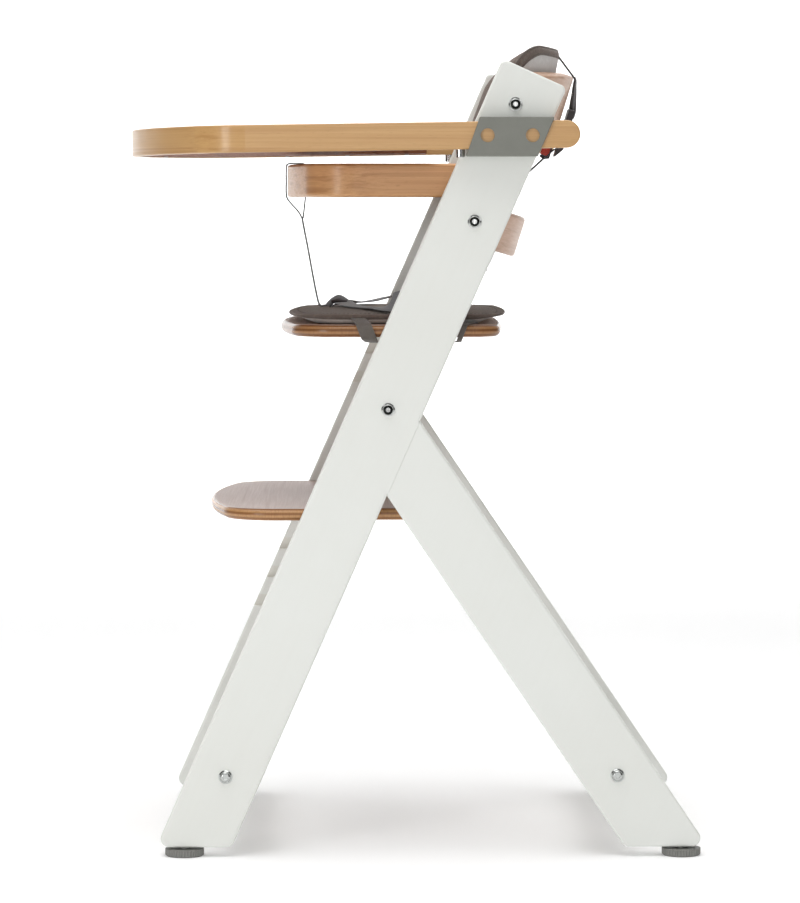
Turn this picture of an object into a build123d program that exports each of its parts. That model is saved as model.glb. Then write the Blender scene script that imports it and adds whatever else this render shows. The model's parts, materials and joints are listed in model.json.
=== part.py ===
from build123d import *
import math
import os

os.makedirs("parts", exist_ok=True)

# ---------------------------------------------------------------------------
# Stair-type wooden baby high chair with a slide-on tray.
# Millimetres. +Z up, the child faces -Y, +X is the child's left hand.
# The origin is on the floor, under the middle of the chair's box.
# All y values below are given from the photograph's own datum and moved by
# Y_SHIFT, so that the origin sits under the middle.
# ---------------------------------------------------------------------------
Y_SHIFT = 20.3

# frame
INNER_HALF = 205.0            # half the clear width between the side frames
SIDE_T = 25.0                 # side frame thickness
OUTER_HALF = INNER_HALF + SIDE_T
LEG_BOTTOM = 9.6              # underside of the legs over the floor
CORNER_R = 8.5                # corner radius of the side frames
TOP_CORNER_R = 6.0            # the two corners at the top of each upright
EDGE_R = 2.5                  # eased edges of the side frames
UP_FRONT_BOTTOM = (-273.6, LEG_BOTTOM)
UP_REAR_BOTTOM = (-198.7, LEG_BOTTOM)
UP_FRONT_TOP = (67.94, 786.1)
UP_REAR_TOP = (130.85, 757.93)
LEG_OUT_BOTTOM = (272.0, LEG_BOTTOM)
LEG_IN_BOTTOM = (189.7, LEG_BOTTOM)
LEG_SLOPE = 0.6759            # rear leg: forward travel for each unit of height

# grooves for the two boards
GROOVE_H = 12.4
GROOVE_D = 8.0
GROOVE_PITCH = 31.0
SEAT_Z = 519.0                # mid height of the seat board
FOOT_Z = 337.6                # mid height of the footrest board
SEAT_GROOVES = [SEAT_Z - i * GROOVE_PITCH for i in range(3)]
FOOT_GROOVES = [FOOT_Z - i * GROOVE_PITCH for i in range(5)]

# frame bolts (y, z), the same on both sides
BOLT_TOP = (80.3, 741.7)
BOLT_LOW = (40.4, 626.9)
BOLT_MID = (-44.3, 442.3)
BOLT_FRONT = (-204.9, 79.8)
BOLT_REAR = (182.2, 80.8)
BOLT_R = 3.0
BOLT_HOLE_R = 3.25
BOLT_HEAD_R = 6.75
BOLT_TIP_X = 178.0
NUT_X = 186.0
NUT_R = 5.0

# bent back slats
SLAT_T = 14.0
SLAT_SAG = 49.0
SLAT_TILT = math.radians(17.2)  # the slats stand steeper than the uprights
SLAT_FLAT = 30.0
SLAT_R1 = 100.0
TOP_SLAT_S = (-18.0, 51.5)    # along the slope, from its bolt
TOP_SLAT_END = 17.0           # the arched top comes down to this at the uprights
LOW_SLAT_S = (-22.0, 20.0)

# bumper rail
RAIL_T = 17.0
RAIL_Z = (651.0, 684.0)
RAIL_FRONT = -146.0
RAIL_REAR = 41.0

# tray
TRAY_TILT = 0.85              # the tray droops to the front, degrees
TRAY_PIVOT = (75.0, 711.5)
RIM_H = 27.0
RIM_T = 15.0
ARM_IN = 233.4                # inner faces of the arms
ARM_OUT = ARM_IN + RIM_T
RIM_FRONT = -381.0            # from the tray pivot
RIM_REAR = 68.0
RIM_R_FRONT = 380.0
RIM_R_CORNER = 62.0
PANEL_T = 6.0
PANEL_Z = -12.5               # underside of the panel from the rim's mid height
PANEL_LAP = 5.0
PANEL_REAR = -75.0

# brackets
BRK_OUT = 251.0
BRK_CORNERS = [(45.0, 729.0), (118.0, 729.0), (101.5, 690.5), (31.5, 690.5)]
BRK_HOLES = [(52.5, 711.0), (96.4, 711.0)]
BRK_HOLE_R = 6.8

# boards
BOARD_T = 12.0
BOARD_HALF = 212.5

# levelling feet
FOOT_R = 19.25
FOOT_H = 7.3
FOOT_FRONT_Y = -245.8
FOOT_REAR_Y = 246.3
FOOT_X = INNER_HALF + SIDE_T / 2
STUD_R = 4.0
INSERT_R = 5.5
FOOT_RIBS = 41

TILT = math.atan((UP_REAR_TOP[0] - UP_REAR_BOTTOM[0]) / (UP_REAR_TOP[1] - UP_REAR_BOTTOM[1]))
U = (0, math.sin(TILT), math.cos(TILT))       # up along the uprights
N = (0, math.cos(TILT), -math.sin(TILT))      # square to them, to the rear
U2 = (0, math.sin(SLAT_TILT), math.cos(SLAT_TILT))    # the same for the back slats
N2 = (0, math.cos(SLAT_TILT), -math.sin(SLAT_TILT))
BACK_AT = (81.8, 743.7)       # datum of the back cushion and the buckle, near the top bolt
PAD_TILT = math.radians(19.595)
U3 = (0, math.sin(PAD_TILT), math.cos(PAD_TILT))      # and for the back cushion, which leans on both slats
N3 = (0, math.cos(PAD_TILT), -math.sin(PAD_TILT))


def yy(v):
    return v + Y_SHIFT


def side_pts(pts):
    return [(yy(a), b) for a, b in pts]


def slope_plane(bolt, s=0.0, up=U):
    # local x across the chair, local y square to the slope, normal up the slope
    o = (0, yy(bolt[0]) + up[1] * s, bolt[1] + up[2] * s)
    return Plane(origin=o, x_dir=(1, 0, 0), z_dir=up)


def tray_plane(z=0.0):
    a = math.radians(TRAY_TILT)
    zd = (0, -math.sin(a), math.cos(a))
    o = (0, yy(TRAY_PIVOT[0]) + zd[1] * z, TRAY_PIVOT[1] + zd[2] * z)
    return Plane(origin=o, x_dir=(1, 0, 0), z_dir=zd)


def bow_outline(half, out, inn):
    # closed outline of a bent strip: flat ends, a reverse bend, one long bow
    run = INNER_HALF - SLAT_FLAT
    th = 2 * math.atan(SLAT_SAG / run)
    big = run / math.sin(th) - SLAT_R1

    def side(off):
        r1 = SLAT_R1 - off
        r2 = big + off
        p = []
        if half > run:
            p.append((half, off))
            f0 = 0.0
        else:
            f0 = math.asin((run - half) / r1)
        for f in (f0, (f0 + th) / 2, th):
            p.append((run - r1 * math.sin(f), SLAT_R1 - r1 * math.cos(f)))
        p.append((0.0, SLAT_SAG - big + r2))
        return p

    def flip(q):
        return (-q[0], q[1])

    def draw(p):
        k = 0
        if len(p) == 5:
            Line(p[0], p[1])
            Line(flip(p[0]), flip(p[1]))
            k = 1
        ThreePointArc(p[k], p[k + 1], p[k + 2])
        ThreePointArc(p[k + 2], p[k + 3], flip(p[k + 2]))
        ThreePointArc(flip(p[k]), flip(p[k + 1]), flip(p[k + 2]))

    a, b = side(out), side(inn)
    draw(a)
    draw(b)
    Line(a[0], b[0])
    Line(flip(a[0]), flip(b[0]))


def u_points(half, y_front, r_front, r_corner):
    # tangent points of a U: straight arms, round corners, a bowed front
    cy = y_front + r_front
    cx = half - r_corner
    d = r_front - r_corner
    ky = cy - math.sqrt(d * d - cx * cx)
    t = (cx * r_front / d, cy + (ky - cy) * r_front / d)
    a0 = 0.0
    a1 = math.atan2(t[1] - ky, t[0] - cx)
    m = (cx + r_corner * math.cos((a0 + a1) / 2), ky + r_corner * math.sin((a0 + a1) / 2))
    return (half, ky), m, t


def u_path(half, y_rear, y_front, r_front, r_corner):
    p, m, t = u_points(half, y_front, r_front, r_corner)
    Line((half, y_rear), p)
    ThreePointArc(p, m, t)
    ThreePointArc(t, (0, y_front), (-t[0], t[1]))
    ThreePointArc((-t[0], t[1]), (-m[0], m[1]), (-p[0], p[1]))
    Line((-p[0], p[1]), (-half, y_rear))


# ---------------------------------------------------------------------------
# Side frames: one lambda outline, parted along the glued seam
# ---------------------------------------------------------------------------
def rear_edge_y(z):
    return UP_REAR_BOTTOM[0] + (z - UP_REAR_BOTTOM[1]) * math.tan(TILT)


def seam_point(bottom):
    # where an edge of the rear leg meets the upright's rear edge
    k = math.tan(TILT)
    z = (bottom[0] + bottom[1] * LEG_SLOPE - UP_REAR_BOTTOM[0] + UP_REAR_BOTTOM[1] * k) / (LEG_SLOPE + k)
    return (rear_edge_y(z), z)


SEAM_TOP = seam_point(LEG_OUT_BOTTOM)
SEAM_LOW = seam_point(LEG_IN_BOTTOM)
seam_plane = Plane(origin=(0, yy(UP_REAR_BOTTOM[0]), UP_REAR_BOTTOM[1]), x_dir=(1, 0, 0), z_dir=N)
dowel_pts = [
    (SEAM_LOW[0] + (SEAM_TOP[0] - SEAM_LOW[0]) * f, SEAM_LOW[1] + (SEAM_TOP[1] - SEAM_LOW[1]) * f)
    for f in (0.28, 0.72)
]
bolt_pts_upright = [BOLT_TOP, BOLT_LOW, BOLT_MID, BOLT_FRONT]

outline = [
    UP_FRONT_BOTTOM, UP_FRONT_TOP, UP_REAR_TOP, SEAM_TOP,
    LEG_OUT_BOTTOM, LEG_IN_BOTTOM, SEAM_LOW, UP_REAR_BOTTOM,
]

with BuildPart() as left_side:
    with BuildSketch(Plane.YZ.offset(INNER_HALF)) as side_sketch:
        with BuildLine():
            Polyline(*side_pts(outline), close=True)
        make_face()
        seam_ends = [Vector(INNER_HALF, yy(q[0]), q[1]) for q in (SEAM_TOP, SEAM_LOW)]
        corners = [
            v for v in side_sketch.vertices()
            if min((Vector(v) - q).length for q in seam_ends) > 1
            and min((Vector(INNER_HALF, v.X, v.Y) - q).length for q in seam_ends) > 1
        ]
        head = [v for v in corners if max(v.Y, v.Z) > 700]
        fillet(head, radius=TOP_CORNER_R)
        corners = [
            v for v in side_sketch.vertices()
            if max(v.Y, v.Z) < 700 and min((Vector(v) - q).length for q in seam_ends) > 1
            and min((Vector(INNER_HALF, v.X, v.Y) - q).length for q in seam_ends) > 1
        ]
        fillet(corners, radius=CORNER_R)
    extrude(amount=SIDE_T)
    # eased edges all round both broad faces, before the frame is parted
    fillet(left_side.faces().filter_by(Axis.X).edges(), radius=EDGE_R)

with BuildPart() as left_upright:
    add(left_side.part)
    split(bisect_by=seam_plane, keep=Keep.BOTTOM)
    with BuildSketch(Plane.YZ.offset(INNER_HALF)):
        for gz in SEAT_GROOVES + FOOT_GROOVES:
            mid = rear_edge_y(gz) - 37.0
            with Locations((yy(mid), gz)):
                Rectangle(130, GROOVE_H)
    extrude(amount=GROOVE_D, mode=Mode.SUBTRACT)
    with BuildSketch(Plane.YZ.offset(INNER_HALF)):
        with Locations(*side_pts(bolt_pts_upright)):
            Circle(BOLT_HOLE_R)
    extrude(amount=SIDE_T, mode=Mode.SUBTRACT)
    # pilot holes for the bracket screws and for the bumper rail screws
    with BuildSketch(Plane.YZ.offset(OUTER_HALF)):
        with Locations(*side_pts(BRK_HOLES)):
            Circle(2.05)
    extrude(amount=-19, mode=Mode.SUBTRACT)
    with BuildSketch(Plane.YZ.offset(INNER_HALF)):
        with Locations(*side_pts([(30.0, 659.5), (30.0, 676.0)])):
            Circle(2.05)
    extrude(amount=19, mode=Mode.SUBTRACT)
    # dowel holes, square to the seam
    for dp in dowel_pts:
        with BuildSketch(Plane(origin=(FOOT_X, yy(dp[0]), dp[1]), x_dir=(1, 0, 0), z_dir=N)):
            Circle(5.05)
        extrude(amount=-26, mode=Mode.SUBTRACT)
    # socket for the levelling foot's sleeve
    with BuildSketch(Plane.XY.offset(LEG_BOTTOM - 1)):
        with Locations((FOOT_X, yy(FOOT_FRONT_Y))):
            Circle(INSERT_R + 0.03)
    extrude(amount=18, mode=Mode.SUBTRACT)

with BuildPart() as left_rear_leg:
    add(left_side.part)
    split(bisect_by=seam_plane, keep=Keep.TOP)
    # fine V along the glue line, on both broad faces
    seam_edges = [
        e for e in left_rear_leg.edges()
        if abs(seam_plane.to_local_coords(e @ 0.5).Z) < 0.01 and e.length > 40
        and abs(e.tangent_at(0.5).dot(Vector(*U))) > 0.99
    ]
    chamfer(seam_edges, length=0.5)
    with BuildSketch(Plane.YZ.offset(INNER_HALF)):
        with Locations(*side_pts([BOLT_REAR])):
            Circle(BOLT_HOLE_R)
    extrude(amount=SIDE_T, mode=Mode.SUBTRACT)
    for dp in dowel_pts:
        with BuildSketch(Plane(origin=(FOOT_X, yy(dp[0]), dp[1]), x_dir=(1, 0, 0), z_dir=N)):
            Circle(5.05)
        extrude(amount=26, mode=Mode.SUBTRACT)
    with BuildSketch(Plane.XY.offset(LEG_BOTTOM - 1)):
        with Locations((FOOT_X, yy(FOOT_REAR_Y))):
            Circle(INSERT_R + 0.03)
    extrude(amount=18, mode=Mode.SUBTRACT)

with BuildPart() as right_upright:
    mirror(left_upright.part, about=Plane.YZ)

with BuildPart() as right_rear_leg:
    mirror(left_rear_leg.part, about=Plane.YZ)

with BuildPart() as leg_dowels:
    for dp in dowel_pts:
        with BuildSketch(Plane(origin=(FOOT_X, yy(dp[0]), dp[1]), x_dir=(1, 0, 0), z_dir=N).offset(-25)):
            Circle(5.0)
        extrude(amount=50)
    chamfer(leg_dowels.edges().filter_by(GeomType.CIRCLE), length=1.0)
    mirror(about=Plane.YZ)

# ---------------------------------------------------------------------------
# Cross members
# ---------------------------------------------------------------------------
RAIL_N = 22.0
RAIL_S = 50.0
leg_len = math.hypot(LEG_SLOPE, 1.0)
W = (0, -LEG_SLOPE / leg_len, 1.0 / leg_len)   # up along the rear legs


def bar_plane(bolt, up):
    return Plane(origin=(0, yy(bolt[0]), bolt[1]), x_dir=(1, 0, 0), z_dir=up)


def nut_holes(bolt, up, depth_in, depth_out):
    # clearance hole from each end, and the cross hole for the barrel nut
    pl = bar_plane(bolt, up)
    for sx in (1, -1):
        end = Plane(origin=(sx * INNER_HALF, yy(bolt[0]), bolt[1]), x_dir=(0, 1, 0), z_dir=(-sx, 0, 0))
        with BuildSketch(end) as bolt_hole:
            Circle(BOLT_HOLE_R)
        extrude(bolt_hole.sketch, amount=INNER_HALF - BOLT_TIP_X + 2, mode=Mode.SUBTRACT)
        o = Vector(sx * NUT_X, yy(bolt[0]), bolt[1]) - pl.y_dir * depth_in
        with BuildSketch(Plane(origin=o, x_dir=(1, 0, 0), z_dir=pl.y_dir)) as cross_hole:
            Circle(NUT_R + 0.05)
        extrude(cross_hole.sketch, amount=depth_in + depth_out, mode=Mode.SUBTRACT)


with BuildPart() as mid_cross_rail:
    with BuildSketch(bar_plane(BOLT_MID, U).offset(-RAIL_S / 2)):
        Rectangle(2 * INNER_HALF, RAIL_N)
    extrude(amount=RAIL_S)
    fillet(mid_cross_rail.edges().filter_by(Axis.X), radius=3)
    nut_holes(BOLT_MID, U, 8.2, 20)

with BuildPart() as front_stretcher:
    with BuildSketch(bar_plane(BOLT_FRONT, U).offset(-RAIL_S / 2)):
        Rectangle(2 * INNER_HALF, RAIL_N)
    extrude(amount=RAIL_S)
    fillet(front_stretcher.edges().filter_by(Axis.X), radius=3)
    nut_holes(BOLT_FRONT, U, 8.2, 20)

with BuildPart() as rear_stretcher:
    with BuildSketch(bar_plane(BOLT_REAR, W).offset(-RAIL_S / 2)):
        Rectangle(2 * INNER_HALF, RAIL_N)
    extrude(amount=RAIL_S)
    fillet(rear_stretcher.edges().filter_by(Axis.X), radius=3)
    nut_holes(BOLT_REAR, W, 20, 8.2)

with BuildPart() as upper_back_slat:
    with BuildSketch(slope_plane(BOLT_TOP, TOP_SLAT_S[0], U2)):
        with BuildLine():
            bow_outline(INNER_HALF, SLAT_T / 2, -SLAT_T / 2)
        make_face()
    extrude(amount=TOP_SLAT_S[1] - TOP_SLAT_S[0] + 4)
    # arched top edge, cut square through the slat
    with BuildSketch(Plane(origin=(0, yy(BOLT_TOP[0]), BOLT_TOP[1]), x_dir=(1, 0, 0), z_dir=N2)):
        with BuildLine():
            Polyline((INNER_HALF, -TOP_SLAT_END), (INNER_HALF, -TOP_SLAT_S[0]), (-INNER_HALF, -TOP_SLAT_S[0]), (-INNER_HALF, -TOP_SLAT_END))
            ThreePointArc((INNER_HALF, -TOP_SLAT_END), (0, -TOP_SLAT_S[1]), (-INNER_HALF, -TOP_SLAT_END))
        make_face()
    extrude(amount=150, both=True, mode=Mode.INTERSECT)
    rim_edges = [
        e for e in upper_back_slat.edges()
        if abs(e.center().X) < INNER_HALF - 0.5 and abs(e.tangent_at(0.5).dot(Vector(*N2))) < 0.9
        and abs(e.tangent_at(0.5).dot(Vector(*U2))) < 0.9
    ]
    fillet(rim_edges, radius=3.0)
    nut_holes(BOLT_TOP, U2, 6.2, 20)

with BuildPart() as lower_back_slat:
    with BuildSketch(slope_plane(BOLT_LOW, LOW_SLAT_S[0], U2)):
        with BuildLine():
            bow_outline(INNER_HALF, SLAT_T / 2, -SLAT_T / 2)
        make_face()
    extrude(amount=LOW_SLAT_S[1] - LOW_SLAT_S[0])
    ends = lower_back_slat.faces().filter_by(lambda f: abs(f.normal_at().dot(Vector(*U2))) > 0.999)
    fillet([e for e in ends.edges() if abs(e.center().X) < INNER_HALF - 0.5], radius=3.5)
    nut_holes(BOLT_LOW, U2, 6.2, 20)

# ---------------------------------------------------------------------------
# Frame bolts and their barrel nuts
# ---------------------------------------------------------------------------
bolt_set = [(BOLT_TOP, U2), (BOLT_LOW, U2), (BOLT_MID, U), (BOLT_FRONT, U), (BOLT_REAR, W)]

with BuildPart() as frame_bolts:
    for b, up in bolt_set:
        turn = Plane(origin=(OUTER_HALF, yy(b[0]), b[1]), x_dir=(1, 0, 0), z_dir=(0, 1, 0))
        with BuildSketch(turn):
            with BuildLine():
                Polyline(
                    (BOLT_TIP_X - OUTER_HALF, 0), (BOLT_TIP_X - OUTER_HALF, BOLT_R - 0.6),
                    (BOLT_TIP_X - OUTER_HALF + 0.6, BOLT_R), (0, BOLT_R), (0, BOLT_HEAD_R), (1.0, BOLT_HEAD_R),
                )
                Line((1.0, BOLT_HEAD_R), (1.2, 5.6))
                ThreePointArc((1.2, 5.6), (3.1, 4.75), (3.9, 3.3))
                Polyline((3.9, 3.3), (3.9, 0), (BOLT_TIP_X - OUTER_HALF, 0))
            make_face()
        revolve(axis=Axis((OUTER_HALF, yy(b[0]), b[1]), (1, 0, 0)))
        with BuildSketch(Plane(origin=(OUTER_HALF + 4.0, yy(b[0]), b[1]), x_dir=(0, 1, 0), z_dir=(1, 0, 0))):
            RegularPolygon(radius=2.5, side_count=6, major_radius=False)
        extrude(amount=-2.4, mode=Mode.SUBTRACT)
    mirror(about=Plane.YZ)

with BuildPart() as barrel_nuts:
    for b, up in bolt_set:
        pl = bar_plane(b, up)
        half_len = 6.0 if b in (BOLT_TOP, BOLT_LOW) else 8.0
        o = Vector(NUT_X, yy(b[0]), b[1]) - pl.y_dir * half_len
        with BuildSketch(Plane(origin=o, x_dir=(1, 0, 0), z_dir=pl.y_dir)):
            Circle(NUT_R)
        extrude(amount=2 * half_len)
        with BuildSketch(Plane(origin=(NUT_X - 7, yy(b[0]), b[1]), x_dir=(0, 1, 0), z_dir=(1, 0, 0))):
            Circle(BOLT_R + 0.05)
        extrude(amount=14, mode=Mode.SUBTRACT)
    mirror(about=Plane.YZ)

# ---------------------------------------------------------------------------
# Bumper rail
# ---------------------------------------------------------------------------
with BuildPart() as bumper_rail:
    with BuildSketch(Plane.XY.offset(RAIL_Z[0])):
        with BuildLine():
            u_path(INNER_HALF, yy(RAIL_REAR), yy(RAIL_FRONT), 700.0, 50.0)
            u_path(INNER_HALF - RAIL_T, yy(RAIL_REAR), yy(RAIL_FRONT) + RAIL_T, 700.0 - RAIL_T, 50.0 - RAIL_T)
            Line((INNER_HALF, yy(RAIL_REAR)), (INNER_HALF - RAIL_T, yy(RAIL_REAR)))
            Line((-INNER_HALF, yy(RAIL_REAR)), (-INNER_HALF + RAIL_T, yy(RAIL_REAR)))
        make_face()
    extrude(amount=RAIL_Z[1] - RAIL_Z[0])
    fillet(bumper_rail.faces().filter_by(Axis.Z).edges(), radius=3.0)
    with BuildSketch(Plane.YZ.offset(-OUTER_HALF)):
        with Locations(*side_pts([(30.0, 659.5), (30.0, 676.0)])):
            Circle(2.1)
    extrude(amount=2 * OUTER_HALF, mode=Mode.SUBTRACT)

with BuildPart() as bumper_rail_screws:
    for z in (659.5, 676.0):
        x0 = INNER_HALF - RAIL_T
        with BuildSketch(Plane(origin=(x0, yy(30.0), z), x_dir=(1, 0, 0), z_dir=(0, 1, 0))):
            with BuildLine():
                Polyline((0, 0), (-2.2, 0))
                ThreePointArc((-2.2, 0), (-1.7, 2.6), (0, 4.2))
                Polyline((0, 4.2), (0, 2.0), (33, 2.0), (35, 0.6), (35, 0), (0, 0))
            make_face()
        revolve(axis=Axis((x0, yy(30.0), z), (1, 0, 0)))
    mirror(about=Plane.YZ)

# ---------------------------------------------------------------------------
# Tray brackets and their screws
# ---------------------------------------------------------------------------
with BuildPart() as left_tray_bracket:
    with BuildSketch(Plane.YZ.offset(OUTER_HALF)):
        with BuildLine():
            Polyline(*side_pts(BRK_CORNERS), close=True)
        make_face()
    extrude(amount=BRK_OUT - OUTER_HALF)
    fillet(left_tray_bracket.edges().filter_by(Axis.X), radius=1.2)
    fillet(left_tray_bracket.faces().sort_by(Axis.X)[-1].edges(), radius=0.8)
    # sleeve for the tray's arm
    with BuildSketch(tray_plane(-RIM_H / 2 - 0.4)):
        with BuildLine():
            Polyline((ARM_IN - 0.4, -90), (ARM_OUT + 0.4, -90), (ARM_OUT + 0.4, 90), (ARM_IN - 0.4, 90), close=True)
        make_face()
    extrude(amount=RIM_H + 0.8, mode=Mode.SUBTRACT)
    # access holes in the outer wall
    with BuildSketch(Plane.YZ.offset(ARM_OUT - 1)):
        with Locations(*side_pts(BRK_HOLES)):
            Circle(BRK_HOLE_R)
    extrude(amount=6, mode=Mode.SUBTRACT)
    # countersunk screw holes in the inner wall
    for h in BRK_HOLES:
        with BuildSketch(Plane(origin=(OUTER_HALF, yy(h[0]), h[1]), x_dir=(1, 0, 0), z_dir=(0, 1, 0))):
            with BuildLine():
                Polyline((-0.5, 0), (-0.5, 2.15), (0.6, 2.15), (3.0, 4.3), (3.2, 4.3), (3.2, 0), close=True)
            make_face()
        revolve(axis=Axis((OUTER_HALF, yy(h[0]), h[1]), (1, 0, 0)), mode=Mode.SUBTRACT)

with BuildPart() as right_tray_bracket:
    mirror(left_tray_bracket.part, about=Plane.YZ)

with BuildPart() as bracket_screws:
    for h in BRK_HOLES:
        with BuildSketch(Plane(origin=(OUTER_HALF, yy(h[0]), h[1]), x_dir=(1, 0, 0), z_dir=(0, 1, 0))):
            with BuildLine():
                Polyline((-18, 0), (-16.5, 2.0), (0.6, 2.0), (2.9, 4.1), (2.9, 0), close=True)
            make_face()
        revolve(axis=Axis((OUTER_HALF, yy(h[0]), h[1]), (1, 0, 0)))
        with BuildSketch(Plane(origin=(OUTER_HALF + 3.0, yy(h[0]), h[1]), x_dir=(0, 1, 0), z_dir=(1, 0, 0))):
            Rectangle(4.2, 0.9)
            Rectangle(0.9, 4.2)
        extrude(amount=-1.4, mode=Mode.SUBTRACT)
    mirror(about=Plane.YZ)

# ---------------------------------------------------------------------------
# Tray
# ---------------------------------------------------------------------------
PIN_Y = 26.0 - TRAY_PIVOT[0]
PIN_X = ARM_IN + RIM_T / 2
p_in, m_in, t_in = u_points(ARM_IN, RIM_FRONT + RIM_T, RIM_R_FRONT - RIM_T, RIM_R_CORNER - RIM_T)
tray_screw_pts = [
    (sx * (ARM_IN + 2.6), y) for y in (-95.0, -160.0, -225.0) for sx in (1, -1)
] + [(sx * 110.0, RIM_FRONT + RIM_R_FRONT - math.sqrt((RIM_R_FRONT - RIM_T + 2.6) ** 2 - 110.0 ** 2)) for sx in (1, -1)]


def panel_outline(grow):
    lap = PANEL_LAP + grow
    half = ARM_IN + lap
    u_path(half, PANEL_REAR + grow, RIM_FRONT + RIM_T - lap, RIM_R_FRONT - RIM_T + lap, RIM_R_CORNER - RIM_T + lap)
    Line((half, PANEL_REAR + grow), (150, PANEL_REAR + grow))
    Line((-half, PANEL_REAR + grow), (-150, PANEL_REAR + grow))
    ThreePointArc((150, PANEL_REAR + grow), (0, PANEL_REAR - 95.0), (-150, PANEL_REAR + grow))


with BuildPart() as tray_rim:
    with BuildSketch(tray_plane(-RIM_H / 2)):
        with BuildLine():
            u_path(ARM_OUT, RIM_REAR, RIM_FRONT, RIM_R_FRONT, RIM_R_CORNER)
            u_path(ARM_IN, RIM_REAR, RIM_FRONT + RIM_T, RIM_R_FRONT - RIM_T, RIM_R_CORNER - RIM_T)
            Line((ARM_OUT, RIM_REAR), (ARM_IN, RIM_REAR))
            Line((-ARM_OUT, RIM_REAR), (-ARM_IN, RIM_REAR))
        make_face()
    extrude(amount=RIM_H)
    # round rear ends of the arms
    end_edges = [
        e for e in tray_rim.edges().filter_by(Axis.X)
        if e.center().Y > yy(TRAY_PIVOT[0]) + RIM_REAR - 5
    ]
    fillet(end_edges, radius=RIM_H / 2 - 0.05)
    fillet(
        [e for e in tray_rim.edges() if e.geom_type != GeomType.LINE or abs(e.tangent_at(0.5).Y) > 0.9],
        radius=1.6,
    )
    # rebate for the panel
    with BuildSketch(tray_plane(-RIM_H / 2 - 1)):
        with BuildLine():
            panel_outline(0.1)
        make_face()
    extrude(amount=PANEL_Z + PANEL_T + 0.05 + RIM_H / 2 + 1, mode=Mode.SUBTRACT)
    # sockets of the stop pins and pilot holes of the panel screws
    with BuildSketch(tray_plane(-RIM_H / 2 - 1)):
        with Locations((PIN_X, PIN_Y), (-PIN_X, PIN_Y)):
            Circle(2.55)
    extrude(amount=10, mode=Mode.SUBTRACT)
    with BuildSketch(tray_plane(PANEL_Z)):
        with Locations(*tray_screw_pts):
            Circle(1.3)
    extrude(amount=15, mode=Mode.SUBTRACT)

with BuildPart() as tray_panel:
    with BuildSketch(tray_plane(PANEL_Z)):
        with BuildLine():
            panel_outline(0.0)
        make_face()
    extrude(amount=PANEL_T)
    with BuildSketch(tray_plane(PANEL_Z)):
        with Locations(*tray_screw_pts):
            Circle(1.3)
    extrude(amount=PANEL_T, mode=Mode.SUBTRACT)

with BuildPart() as tray_panel_screws:
    for q in tray_screw_pts:
        base = tray_plane(PANEL_Z)
        with BuildSketch(base):
            with Locations(q):
                Circle(1.25)
        extrude(amount=14)
        with BuildSketch(base):
            with Locations(q):
                Circle(2.3)
        extrude(amount=-0.9)

with BuildPart() as tray_stop_pins:
    with BuildSketch(tray_plane(-RIM_H / 2)):
        with Locations((PIN_X, PIN_Y), (-PIN_X, PIN_Y)):
            Circle(4.4)
    extrude(amount=-8)
    chamfer(tray_stop_pins.faces().sort_by(Axis.Z)[:2].edges(), length=0.7)
    with BuildSketch(tray_plane(-RIM_H / 2)):
        with Locations((PIN_X, PIN_Y), (-PIN_X, PIN_Y)):
            Circle(2.5)
    extrude(amount=8.5)

# ---------------------------------------------------------------------------
# Boards
# ---------------------------------------------------------------------------
SEAT_FRONT, SEAT_REAR = -152.6, 73.0
BOARD_EDGE_R = 5.4            # nearly full round edges
FR_FRONT, FR_NOTCH, FR_REAR = -225.3, -57.0, 4.0

with BuildPart() as seat_board:
    with BuildSketch(Plane.XY.offset(SEAT_Z - BOARD_T / 2)) as seat_sketch:
        with BuildLine():
            ThreePointArc((BOARD_HALF, yy(SEAT_FRONT) + 20), (0, yy(SEAT_FRONT)), (-BOARD_HALF, yy(SEAT_FRONT) + 20))
            Line((-BOARD_HALF, yy(SEAT_FRONT) + 20), (-BOARD_HALF, yy(SEAT_REAR) - 8))
            ThreePointArc((-BOARD_HALF, yy(SEAT_REAR) - 8), (0, yy(SEAT_REAR)), (BOARD_HALF, yy(SEAT_REAR) - 8))
            Line((BOARD_HALF, yy(SEAT_REAR) - 8), (BOARD_HALF, yy(SEAT_FRONT) + 20))
        make_face()
        fillet(seat_sketch.vertices().sort_by(Axis.Y)[:2], radius=48)
        fillet(seat_sketch.vertices().sort_by(Axis.Y)[-2:], radius=32)
    extrude(amount=BOARD_T)
    fillet(seat_board.faces().filter_by(Axis.Z).edges(), radius=BOARD_EDGE_R)

with BuildPart() as footrest_board:
    with BuildSketch(Plane.XY.offset(FOOT_Z - BOARD_T / 2)) as foot_sketch:
        with BuildLine():
            ThreePointArc((BOARD_HALF, yy(FR_FRONT) + 28), (0, yy(FR_FRONT)), (-BOARD_HALF, yy(FR_FRONT) + 28))
            Polyline(
                (-BOARD_HALF, yy(FR_FRONT) + 28), (-BOARD_HALF, yy(FR_NOTCH)), (-INNER_HALF + 1.5, yy(FR_NOTCH) + 4),
                (-INNER_HALF + 1.5, yy(FR_REAR)), (INNER_HALF - 1.5, yy(FR_REAR)),
                (INNER_HALF - 1.5, yy(FR_NOTCH) + 4), (BOARD_HALF, yy(FR_NOTCH)), (BOARD_HALF, yy(FR_FRONT) + 28),
            )
        make_face()
        vs = foot_sketch.vertices()
        front_v = vs.sort_by(Axis.Y)[:2]
        rear_v = vs.sort_by(Axis.Y)[-2:]
        mid_v = [v for v in vs if v not in front_v and v not in rear_v]
        fillet(mid_v, radius=2.5)
        vs = foot_sketch.vertices()
        fillet(vs.sort_by(Axis.Y)[:2], radius=54)
        vs = foot_sketch.vertices()
        fillet(vs.sort_by(Axis.Y)[-2:], radius=25)
    extrude(amount=BOARD_T)
    fillet(footrest_board.faces().filter_by(Axis.Z).edges(), radius=BOARD_EDGE_R)

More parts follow.
